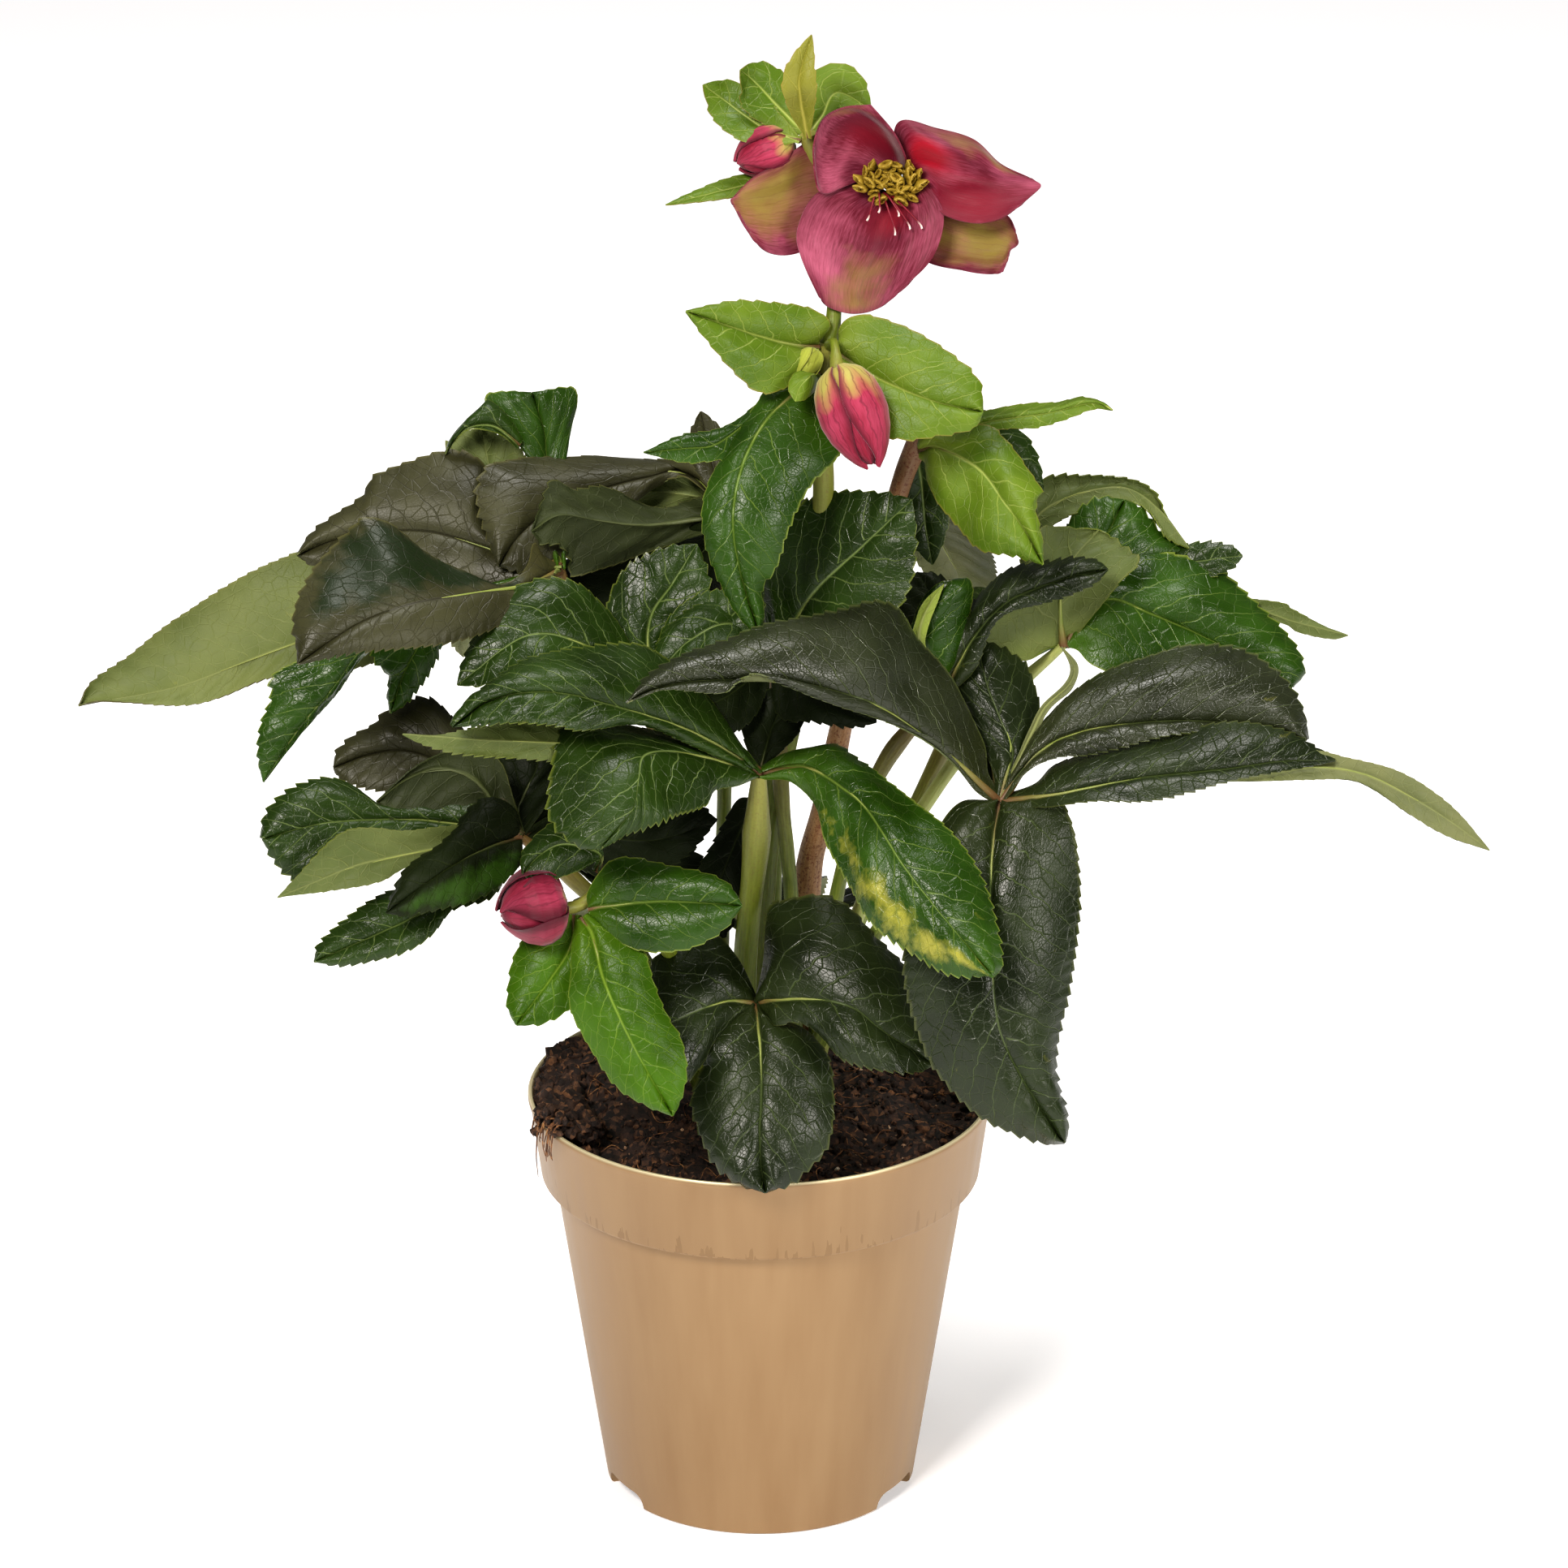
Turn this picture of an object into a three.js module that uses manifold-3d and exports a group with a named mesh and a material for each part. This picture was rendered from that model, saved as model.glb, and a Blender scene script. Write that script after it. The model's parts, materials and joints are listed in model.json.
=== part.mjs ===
// A hellebore in a 13 cm nursery pot: millimetres, +Z up, origin at the middle of the pot's foot.
// X runs to the right and Y away from the plant's show side, where the open flower looks.
import * as THREE from 'three';
import { mergeVertices } from 'three/addons/utils/BufferGeometryUtils.js';
import Module from 'manifold-3d';

const wasm = await Module();
wasm.setup();

// ---- driving dimensions ----
const pot = {
  footRadius: 43.7, height: 118, wall: 1.4, floor: 2.6,
  rimRadius: 65, rimFootRadius: 61.3, rimFootHeight: 93.5, neckRadius: 57.9,
  bandStep: 0.4, notchHeight: 4.7, notchWidth: 20, notchDepth: 12, notchAngles: [-118, -62, 62, 118],
};
const soil = { gap: 0.45, footGap: 0.1, edgeHeight: 107, midRadius: 38, midHeight: 109.5, crest: 111 };
const crown = { radius: 17, halfHeight: 7, z: 110 };
const rootRing = 14.5;
const rootHeight = 112;
const leafStalkRadii = [2.4, 1.8];
const hubRadius = { leaf: 2.6, bract: 1.3 };
const leafThickness = 1.0;
const baseHalfWidth = 1.1;
const clearance = 0.35;

// What a leaflet has where its entry names nothing else: the place of its widest part as a share of
// its length, how full its outline is, and its cup in degrees, which is never quite flat.
const plainLeaflet = { wide: 0.5, full: 0.85, cup: 0.1 };

// Facets: round bodies have enough to look round, and the many thin pieces have few.
const roundSides = 36;
const crownSides = 16;
const crownRings = 8;
const budSides = 10;
const ringSides = 14;
const thinSides = 6;
const leafRings = 6;
const hubRings = 4;
const doubledVertex = 1e-4;

const finishes = {
  dark: { color: 0x24352a, roughness: 0.4 },
  bronze: { color: 0x544c44, roughness: 0.45 },
  mid: { color: 0x2c5424, roughness: 0.42 },
  bract: { color: 0x86a83e, roughness: 0.5 },
  fresh: { color: 0x5c9a26, roughness: 0.5 },
  greenStem: { color: 0x7c8f3c, roughness: 0.55 },
  redStem: { color: 0x7c4c38, roughness: 0.55 },
  sepal: { color: 0xa84465, roughness: 0.55 },
  bud: { color: 0x9c2c50, roughness: 0.5 },
  greenBud: { color: 0x9eae48, roughness: 0.55 },
  nectary: { color: 0xa6992e, roughness: 0.55 },
  pistil: { color: 0xa82f4a, roughness: 0.5 },
  gold: { color: 0xbd9a6c, roughness: 0.36, metalness: 0.25 },
  peat: { color: 0x33221a, roughness: 0.95 },
};

// ---- the plant ----
// Each leaf rises from the crown at a compass angle, root, along stalk to its hub, where its leaflets
// spread. A leaflet's midrib runs from the hub through the points of line; face is the way that its
// upper side looks, fold the rise of its halves in degrees, and wide the place of its widest part.
const leaves = {
  leaf_front_low: { finish: 'dark', root: -90, stalk: [[-1, -30, 149]], hub: [-1, -42, 162], leaflets: [
    { line: [[-14, -50, 166], [-29, -56, 168], [-42, -58, 163]], width: 40, face: [0, -0.8, 0.6], fold: 6 },
    { line: [[14, -50, 172], [33, -56, 171], [52, -60, 155]], width: 45, face: [0, -0.8, 0.6], fold: 4 },
    { line: [[1, -56, 153], [1, -67, 137], [1, -75, 120]], width: 38, face: [0, -0.85, 0.5], fold: 8 },
  ] },
  leaf_center: { finish: 'mid', root: -112, stalk: [[-4, -20, 165], [-1, -33, 203]], hub: [0, -41, 229],
    leaflets: [
    { line: [[15, -50, 234], [29, -66, 226], [43, -82, 210], [63, -94, 192]], width: 31,
      face: [-0.2, -0.6, 0.75], fold: 8, wide: 0.52 },
    { line: [[-14, -50, 239], [-30, -60, 247], [-33, -76, 241], [-42, -84, 226]], width: 45,
      face: [0, -0.7, 0.7], fold: 10, wide: 0.68 },
    { line: [[-15, -52, 249], [-35, -62, 260], [-60, -70, 262], [-81, -74, 256]], width: 42,
      face: [0, -0.15, 0.98], fold: 10 },
    { line: [[-1, -36, 237], [0, -32, 245]], width: 10, face: [0, -0.9, 0.3], fold: 10 },
    { line: [[-30, -45, 236], [-62, -52, 243], [-95, -58, 247]], width: 12, face: [0, 0.8, 0.5], fold: 10 },
  ] },
  leaf_right_front: { finish: 'dark', root: -69, stalk: [[28, -24, 168], [47, -36, 202]],
    hub: [65, -45, 223],
    leaflets: [
      { line: [[44, -54, 256], [20, -66, 274], [-7, -76, 275], [-34, -84, 267]], width: 40,
        face: [0, -0.3, 0.95], fold: 12 },
      { line: [[77, -40, 234], [100, -32, 245], [126, -28, 246], [148, -28, 234]], width: 42,
        face: [0, -0.5, 0.85], fold: 8 },
      { line: [[84, -50, 231], [110, -50, 236], [143, -46, 239], [174, -44, 228], [198, -44, 208]], width: 35,
        face: [0, -0.1, 0.99], faceTip: [0.55, 0.75, 0.35], fold: 8, wide: 0.4 },
      { line: [[63, -60, 212], [63, -70, 192], [70, -76, 162], [83, -78, 137]], width: 46,
        face: [0.2, -0.95, 0.2], fold: 8 },
      { line: [[69, -30, 237], [63, -22, 248], [56, -20, 262]], width: 26, face: [0.1, -0.8, 0.5], fold: 10 },
      { line: [[73, -32, 235], [82, -24, 248], [82, -22, 258]], width: 9, face: [0.8, -0.3, 0.3], fold: 20 },
    ] },
  leaf_right_upper: { finish: 'mid', root: 28, stalk: [[28, 4, 171], [46, 0, 204], [65, -4, 234]],
    hub: [83, -6, 253], leaflets: [
      { line: [[96, -12, 262], [120, -16, 264], [147, -20, 248]], width: 36, face: [0, -0.55, 0.8], fold: 8 },
      { line: [[75, 14, 273], [90, 18, 287], [117, 12, 275]], width: 22, face: [0, -0.4, 0.9], fold: 10,
        wide: 0.65 },
      { line: [[80, 2, 272], [95, 8, 281], [116, 4, 273]], width: 22, face: [0, -0.5, 0.8], fold: 10,
        wide: 0.62 },
      { line: [[100, -6, 266], [99, -8, 280], [82, -22, 278], [59, -34, 266]], width: 28,
        face: [0.3, 0.9, 0.3], fold: 10, wide: 0.65 },
      { line: [[103, 2, 269], [116, 4, 276], [131, 4, 275]], width: 11, face: [0, -0.5, 0.8], fold: 10,
        wide: 0.7 },
      { line: [[121, 4, 259], [141, 6, 257], [160, 4, 252]], width: 8, face: [0, -0.5, 0.8], fold: 10,
        wide: 0.7 },
    ] },
  leaf_rolled: { finish: 'mid', root: -30, stalk: [[22, -9, 184], [34, -14, 221]], hub: [51, -22, 246],
    leaflets: [
    { line: [[47, -28, 260], [49, -30, 273], [55, -28, 280]], width: 17, face: [-0.5, -0.8, 0.2], fold: 35 },
    { line: [[61, -28, 267], [78, -32, 282], [94, -34, 286]], width: 18, face: [0, -0.6, 0.8], fold: 10 },
  ] },
  leaf_left_upper: { finish: 'bronze', root: 168, stalk: [[-26, 6, 179], [-44, 2, 229]], hub: [-54, -6, 275],
    leaflets: [
      { line: [[-83, 6, 270], [-120, 12, 258], [-153, 6, 244], [-187, -4, 234]], width: 42,
        face: [-0.2, 0.85, 0.5], fold: 6 },
      { line: [[-66, -28, 277], [-86, -42, 280], [-107, -50, 286], [-122, -58, 277]], width: 40,
        face: [0, -0.55, 0.8], fold: 14, wide: 0.55 },
      { line: [[-72, 0, 282], [-90, 6, 282], [-108, 8, 274], [-122, 6, 264]], width: 40,
        face: [0, -0.8, 0.6], fold: 4 },
      { line: [[-53, 20, 287], [-63, 24, 304], [-83, 16, 301]], width: 25, face: [-0.5, -0.5, 0.6],
        fold: 10, wide: 0.65 },
      { line: [[-83, -8, 262], [-118, -14, 248], [-136, -22, 218]], width: 20, face: [-0.3, -0.6, 0.6],
        fold: 10, wide: 0.62 },
      { line: [[-74, -8, 264], [-92, -12, 253], [-100, -16, 236]], width: 18, face: [-0.3, -0.6, 0.6],
        fold: 10, wide: 0.7 },
    ] },
  leaf_left_back: { finish: 'bronze', root: 146, stalk: [[-10, 12, 196], [-9, 8, 246]], hub: [-8, 0, 287],
    leaflets: [
      { line: [[-23, -10, 291], [-43, -18, 294], [-61, -24, 296]], width: 26, face: [0, -0.45, 0.9], fold: 12 },
      { line: [[-23, 6, 292], [-44, 0, 294], [-62, -10, 290], [-64, -16, 276]], width: 33,
        face: [0, -0.55, 0.8], fold: 8, wide: 0.6 },
      { line: [[-13, 14, 299], [-16, 18, 312]], width: 11, face: [0, -0.8, 0.6], fold: 10, wide: 0.6 },
    ] },
  leaf_left_mid: { finish: 'mid', root: -170, stalk: [[-21, -8, 185], [-28, -16, 220]], hub: [-29, -23, 246],
    leaflets: [
      { line: [[-45, -32, 262], [-62, -38, 268], [-81, -44, 256]], width: 36, face: [0, -0.6, 0.8], fold: 8 },
      { line: [[-30, -16, 263], [-23, -12, 274], [-17, -8, 283]], width: 26, face: [0, -0.8, 0.6], fold: 8 },
      { line: [[-19, -24, 259], [-8, -22, 267], [1, -18, 275]], width: 22, face: [0, -0.7, 0.7], fold: 8 },
    ] },
  leaf_middle: { finish: 'mid', root: -49, stalk: [[9, -16, 175], [6, -18, 215]], hub: [4, -14, 252],
    leaflets: [
    { line: [[14, -24, 274], [28, -28, 290], [41, -28, 303]], width: 42, face: [0, -0.75, 0.65], fold: 6 },
    { line: [[-7, -24, 266], [-19, -32, 264], [-30, -36, 253]], width: 20, face: [0, -0.5, 0.85], fold: 6 },
  ] },
  leaf_left_lower: { finish: 'mid', root: -150, stalk: [[-32, -20, 166], [-52, -28, 194]], hub: [-65, -32, 207],
    leaflets: [
      { line: [[-73, -44, 210], [-85, -54, 205], [-101, -62, 197]], width: 27, face: [0, -0.6, 0.8], fold: 8 },
      { line: [[-79, -42, 197], [-100, -48, 189], [-121, -54, 180]], width: 17, face: [0, -0.7, 0.7],
        fold: 8, wide: 0.6 },
      { line: [[-89, -38, 207], [-111, -46, 206], [-133, -52, 196]], width: 18, face: [0, 0.9, 0.3], fold: 8 },
      { line: [[-90, -30, 210], [-114, -34, 211], [-135, -40, 210]], width: 28, face: [0, -0.65, 0.75],
        fold: 8, wide: 0.6 },
      { line: [[-79, -20, 222], [-95, -18, 233], [-116, -20, 224]], width: 22, face: [0, -0.7, 0.7],
        fold: 8, wide: 0.6 },
      { line: [[-75, -28, 216], [-86, -30, 221], [-98, -36, 218]], width: 22, face: [0.2, 0.9, 0.3],
        fold: 8, wide: 0.6 },
    ] },
  leaf_back_left: { finish: 'dark', root: 124, stalk: [[-20, 24, 160], [-38, 34, 200]], hub: [-48, 41, 222],
    leaflets: [
      { line: [[-72, 52, 243], [-88, 64, 240], [-102, 74, 224]], width: 30, face: [0, 0.3, 0.9], fold: 10 },
      { line: [[-66, 66, 240], [-78, 92, 230], [-86, 112, 204]], width: 34, face: [-0.2, 0.5, 0.85], fold: 10 },
      { line: [[-48, 72, 238], [-50, 100, 226], [-50, 126, 194]], width: 34, face: [0, 0.5, 0.85], fold: 10 },
      { line: [[-32, 60, 240], [-18, 80, 240], [-8, 100, 224]], width: 28, face: [0.2, 0.5, 0.85], fold: 10 },
    ] },
  leaf_back_center: { finish: 'dark', root: 78, stalk: [[4, 26, 170], [7, 42, 222]], hub: [10, 50, 250],
    leaflets: [
      { line: [[-6, 78, 262], [-18, 108, 240], [-26, 134, 204]], width: 32, face: [0, 0.5, 0.85], fold: 10 },
      { line: [[14, 82, 262], [18, 116, 240], [20, 146, 194]], width: 36, face: [0, 0.5, 0.85], fold: 10 },
      { line: [[34, 72, 262], [52, 100, 244], [64, 124, 204]], width: 34, face: [0.2, 0.5, 0.85], fold: 10 },
    ] },
  leaf_back_right: { finish: 'mid', root: 54, stalk: [[28, 22, 160], [48, 32, 200]], hub: [61, 37, 228],
    leaflets: [
      { line: [[86, 46, 246], [110, 54, 240], [134, 62, 214]], width: 32, face: [0.1, 0.3, 0.9], fold: 10 },
      { line: [[82, 60, 244], [102, 84, 230], [116, 102, 198]], width: 34, face: [0.2, 0.5, 0.85], fold: 10 },
      { line: [[64, 64, 240], [72, 90, 230], [78, 114, 204]], width: 28, face: [0, 0.5, 0.85], fold: 10 },
    ] },
  leaf_back_low: { finish: 'dark', root: 102, stalk: [[2, 32, 132]], hub: [2, 48, 141], leaflets: [
    { line: [[-22, 62, 150], [-42, 74, 144], [-58, 86, 128]], width: 30, face: [-0.1, 0.4, 0.9], fold: 8 },
    { line: [[2, 76, 148], [2, 98, 134], [2, 114, 108]], width: 34, face: [0, 0.5, 0.85], fold: 8 },
    { line: [[26, 62, 150], [46, 74, 144], [64, 84, 126]], width: 30, face: [0.1, 0.4, 0.9], fold: 8 },
  ] },
};

// A bract grows straight from a flowering stem, so it has no stalk of its own.
const bracts = {
  bract_top_center: { finish: 'bract', hub: [13, -2, 396], leaflets: [
    { line: [[11, -10, 410], [11, -10, 417], [14, -6, 426]], width: 9.5, face: [0, -0.9, 0.3], fold: 25 },
  ] },
  bract_top_left: { finish: 'bract', hub: [11, -3, 396], leaflets: [
    { line: [[1, -8, 399], [-9, -10, 406], [-15, -8, 412]], width: 14, face: [0, -0.7, 0.6], fold: 10 },
  ] },
  bract_top_back: { finish: 'mid', hub: [13, 4, 395], leaflets: [
    { line: [[5, 8, 402], [-1, 10, 408], [-5, 8, 412]], width: 15, face: [0, -0.8, 0.5], fold: 10 },
    { line: [[17, 10, 399], [21, 14, 404], [30, 12, 400]], width: 17, face: [0, -0.8, 0.5], fold: 10,
      wide: 0.6 },
  ] },
  bract_top_low: { finish: 'bract', hub: [12, 2, 392], leaflets: [
    { line: [[0, 2, 385], [-12, 0, 381], [-25, -2, 378]], width: 9, face: [0, -0.3, 0.95], fold: 10 },
  ] },
  bract_mid_left: { finish: 'bract', hub: [16, -21, 344], leaflets: [
    { line: [[5, -27, 346], [-6, -33, 351], [-19, -34, 358]], width: 25, face: [0, -0.75, 0.6], fold: 8 },
  ] },
  bract_mid_right: { finish: 'bract', hub: [20, -21, 343], leaflets: [
    { line: [[29, -27, 340], [43, -34, 336], [59, -38, 329]], width: 30, face: [0, -0.75, 0.6], fold: 8 },
  ] },
  bract_mid_low: { finish: 'mid', hub: [16, -22, 337], leaflets: [
    { line: [[8, -28, 330], [-1, -40, 317], [-5, -48, 298], [1, -54, 274]], width: 24,
      face: [0, -0.9, 0.35], fold: 8, wide: 0.6 },
    { line: [[5, -27, 331], [-12, -36, 321], [-32, -40, 320]], width: 10, face: [0, -0.8, 0.6], fold: 8,
      wide: 0.65 },
    { line: [[14, -27, 327], [13, -38, 310], [3, -46, 285]], width: 20, face: [0, -0.9, 0.35], fold: 8,
      wide: 0.45 },
  ] },
  bract_side_right: { finish: 'bract', hub: [44, -12, 314], leaflets: [
    { line: [[59, -14, 319], [77, -16, 323], [94, -18, 325]], width: 14, face: [0, -0.2, 0.98], fold: 10,
      wide: 0.6 },
  ] },
  bract_side_low: { finish: 'bract', hub: [43, -14, 312], leaflets: [
    { line: [[57, -26, 314], [66, -38, 306], [72, -44, 291]], width: 29, face: [0.2, -0.8, 0.6], fold: 8,
      wide: 0.55 },
  ] },
  bract_side_back: { finish: 'mid', hub: [42, -7, 312], leaflets: [
    { line: [[54, -4, 314], [67, -4, 309], [77, -8, 298]], width: 17, face: [0, -0.6, 0.8], fold: 8 },
    { line: [[44, -2, 299], [45, -5, 288], [47, -8, 277]], width: 15, face: [0, -0.9, 0.3], fold: 8 },
  ] },
  bract_bud_right: { finish: 'fresh', hub: [-46, -59, 197], leaflets: [
    { line: [[-35, -62, 198], [-20, -65, 200], [-5, -66, 202]], width: 26, face: [0, -0.8, 0.55], fold: 6 },
  ] },
  bract_bud_low: { finish: 'fresh', hub: [-48, -60, 195], leaflets: [
    { line: [[-44, -67, 186], [-36, -77, 170], [-22, -85, 148]], width: 27, face: [0, -0.85, 0.5], fold: 6 },
  ] },
  bract_bud_left: { finish: 'fresh', hub: [-50, -58, 195], leaflets: [
    { line: [[-51, -62, 187], [-56, -66, 178], [-65, -70, 168]], width: 22, face: [0, -0.85, 0.5], fold: 6,
      wide: 0.6 },
  ] },
  bract_bud_top: { finish: 'mid', hub: [-44, -52, 205], leaflets: [
    { line: [[-43, -56, 215], [-53, -64, 218], [-62, -70, 210]], width: 11, face: [0, -0.6, 0.8], fold: 10,
      wide: 0.6 },
  ] },
};

// A flowering stem is one or more tapering runs, joined end to end.
const stems = {
  flower_stem_main: { finish: 'greenStem', runs: [
    { line: [[0, 0, 112], [-1, -6, 160], [3, -12, 206], [11, -14, 248], [17, -16, 293], [17, -18, 319],
      [18, -18, 344]], radii: [4.2, 3.0] },
    { line: [[18, -18, 342], [20, -14, 351], [20, -2, 367], [17, 4, 381], [13, 2, 396]], radii: [1.9, 1.4] },
    { line: [[13, 2, 394], [21, 11, 396], [29, 10, 393], [35, 5, 387]], radii: [1.4, 1.7] },
  ] },
  flower_stem_side: { finish: 'redStem', root: -2, runs: [
    { line: [[13, -1, 177], [18, -4, 205], [25, -6, 242], [37, -8, 295], [43, -10, 314]], radii: [3.8, 2.2] },
  ] },
  flower_stem_bud: { finish: 'greenStem', root: -132, runs: [
    { line: [[-23, -36, 171], [-36, -50, 198], [-44, -55, 203], [-49, -58, 197], [-53, -60, 196]],
      radii: [2.6, 2.0] },
  ] },
};
const budStalk = { line: [[19, -22, 342], [20, -31, 342], [21, -36, 339]], radii: [1.2, 1.5] };

// The five sepals of the open flower, round a ring of nectaries and the pistils; cup is in degrees.
const sepals = {
  sepal_bottom: { hub: [35, -3, 382], line: [[31, -13, 371], [29, -16, 361], [28, -12, 348]], width: 39,
    face: [-0.05, -0.95, 0.25], fold: 4, cup: 30, full: 0.6 },
  sepal_left: { hub: [32, 1, 386], line: [[22, -3, 386], [8, -4, 383], [-7, 3, 380]], width: 29,
    face: [-0.2, -0.85, 0.45], fold: 6, cup: 20, full: 0.65 },
  sepal_top: { hub: [34, 1, 390], line: [[29, -4, 399], [23, -14, 407], [19, -24, 406]], width: 31,
    face: [0.2, -0.75, -0.55], fold: 6, cup: 50, full: 0.6, wide: 0.6 },
  sepal_right: { hub: [38, 1, 390], line: [[51, -5, 395], [66, -11, 393], [77, -9, 389]], width: 27,
    face: [0, -0.95, 0.2], fold: 4, cup: 25, full: 0.6 },
  sepal_back: { hub: [39, 4, 384], line: [[53, 8, 376], [64, 9, 371], [70, 8, 369]], width: 21,
    face: [0, -0.9, 0.3], fold: 6, cup: 20, full: 0.6 },
};
const flowerEye = {
  at: [36, -3, 387], axis: [0.1, -0.97, -0.22], ring: 6.4, tube: 2.4, heart: 3.2,
  styleRadii: [1.1, 0.5], styleBow: [0, -2.5, 1],
};
const styleTips = [[30, -12, 377], [33, -14, 375], [37, -14, 371], [41, -13, 373], [43, -12, 374]];

// Buds: stalk end, tip, and greatest radius. The outline is radius and height, each as a share.
const budOutline = [[0, 0], [0.62, 0.07], [0.94, 0.27], [1, 0.45], [0.86, 0.67], [0.5, 0.88], [0, 1]];
const buds = {
  bud_hanging: { finish: 'bud', from: [21.5, -38, 337], to: [29, -47, 311], radius: 9.3 },
  bud_upper: { finish: 'bud', from: [10, 9, 392], to: [-5, 8, 386], radius: 6.2 },
  bud_left: { finish: 'bud', from: [-54.5, -60.5, 196], to: [-72, -66, 193], radius: 9.6 },
  bud_green: { finish: 'greenBud', from: [15, -24, 344], to: [11, -29, 337], radius: 2.8 },
};

// ---- geometry helpers ----
const vec = (p) => new THREE.Vector3(...p);
const ribCurve = (points) => new THREE.CatmullRomCurve3(points.map(vec), false, 'catmullrom', 0.5);

// Merges a geometry's doubled vertices, drops its empty triangles and turns its faces outwards.
function closed(geometry) {
  geometry.deleteAttribute('normal');
  geometry.deleteAttribute('uv');
  const merged = mergeVertices(geometry, doubledVertex);
  const index = [...merged.index.array];
  const place = merged.attributes.position;
  const corner = (i) => new THREE.Vector3().fromBufferAttribute(place, i);
  const kept = [];
  let volume = 0;
  for (let i = 0; i < index.length; i += 3) {
    const [a, b, c] = index.slice(i, i + 3);
    if (a === b || b === c || c === a) continue;
    kept.push([a, b, c]);
    volume += corner(a).dot(corner(b).cross(corner(c)));
  }
  merged.setIndex(kept.map(([a, b, c]) => (volume < 0 ? [a, c, b] : [a, b, c])).flat());
  return merged;
}

function solid(geometry) {
  const body = closed(geometry);
  return new wasm.Manifold(new wasm.Mesh({
    numProp: 3,
    vertProperties: new Float32Array(body.attributes.position.array),
    triVerts: new Uint32Array(body.index.array),
  }));
}

// The largest whole body of a solid, without the crumbs that a cut leaves.
function largest(body) {
  const bodies = body.decompose();
  return bodies.sort((a, b) => b.volume() - a.volume())[0];
}

function toGeometry(body) {
  const mesh = body.getMesh();
  const geometry = new THREE.BufferGeometry();
  geometry.setAttribute('position', new THREE.BufferAttribute(new Float32Array(mesh.vertProperties), 3));
  geometry.setIndex([...mesh.triVerts]);
  geometry.computeVertexNormals();
  return geometry;
}

// A leaflet: a sphere whose poles are drawn out to the ends of the midrib and whose rings become
// folded, cupped sections of the blade. grow makes the same shape a little larger all round.
function leafletSolid(hub, leaf, grow) {
  const rib = ribCurve([hub, ...leaf.line]);
  const wideAt = Math.log(0.5) / Math.log(leaf.wide ?? plainLeaflet.wide);
  const fold = THREE.MathUtils.degToRad(leaf.fold);
  const cup = THREE.MathUtils.degToRad(leaf.cup ?? plainLeaflet.cup);
  const geometry = new THREE.SphereGeometry(1, thinSides, leafRings).rotateY(Math.PI / thinSides);
  const place = geometry.attributes.position;
  for (let i = 0; i < place.count; i += 1) {
    const [x, y, z] = [place.getX(i), place.getY(i), place.getZ(i)];
    const ring = Math.hypot(x, z);
    const along = Math.acos(THREE.MathUtils.clamp(-y, -1, 1)) / Math.PI;
    const point = rib.getPoint(along);
    if (ring > doubledVertex) {
      const tangent = rib.getTangent(along);
      const face = vec(leaf.face).lerp(vec(leaf.faceTip ?? leaf.face), along);
      const across = face.cross(tangent).normalize();
      const up = tangent.clone().cross(across);
      const swell = Math.sin(Math.PI * along ** wideAt) ** (leaf.full ?? plainLeaflet.full);
      const half = Math.max(swell * leaf.width / 2, baseHalfWidth * (1 - along)) + grow;
      const side = x / ring / Math.cos(Math.PI / thinSides);
      const reach = Math.min(Math.abs(side), 1);
      const out = (Math.sin(fold + cup * reach) - Math.sin(fold)) / cup;
      const rise = (Math.cos(fold) - Math.cos(fold + cup * reach)) / cup;
      const thick = (z / ring) * (leafThickness / 2 + grow);
      point.addScaledVector(across, Math.sign(side) * half * out);
      point.addScaledVector(up, half * rise + thick);
    }
    place.setXYZ(i, point.x, point.y, point.z);
  }
  return solid(geometry);
}

// A stalk: a capped cylinder bent along a curve, tapering from radii[0] to radii[1].
function stalkSolid(line, radii, grow) {
  const curve = ribCurve(line);
  const steps = line.length + 2;
  const frames = curve.computeFrenetFrames(steps);
  const geometry = new THREE.CylinderGeometry(1, 1, 1, thinSides, steps);
  const place = geometry.attributes.position;
  for (let i = 0; i < place.count; i += 1) {
    const along = place.getY(i) + 0.5;
    const step = Math.round(along * steps);
    const radius = THREE.MathUtils.lerp(radii[0], radii[1], along) + grow;
    const point = curve.getPointAt(along);
    point.addScaledVector(frames.normals[step], place.getX(i) * radius);
    point.addScaledVector(frames.binormals[step], place.getZ(i) * radius);
    place.setXYZ(i, point.x, point.y, point.z);
  }
  return solid(geometry);
}

const ballSolid = (at, radius) => solid(
  new THREE.SphereGeometry(radius, thinSides, hubRings).translate(...at));
const joined = (bodies) => bodies.reduce((a, b) => a.add(b));

// A round body from a profile of [radius, height] points, stood on +Z.
function latheSolid(profile, sides) {
  const points = profile.map(([r, z]) => new THREE.Vector2(r, z));
  return solid(new THREE.LatheGeometry(points, sides).rotateX(Math.PI / 2));
}

function turnTo(geometry, axis) {
  const turn = new THREE.Quaternion().setFromUnitVectors(new THREE.Vector3(0, 0, 1), vec(axis).normalize());
  return geometry.applyQuaternion(turn);
}

function rootPoint(degrees) {
  const angle = THREE.MathUtils.degToRad(degrees);
  return [rootRing * Math.cos(angle), rootRing * Math.sin(angle), rootHeight];
}

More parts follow.
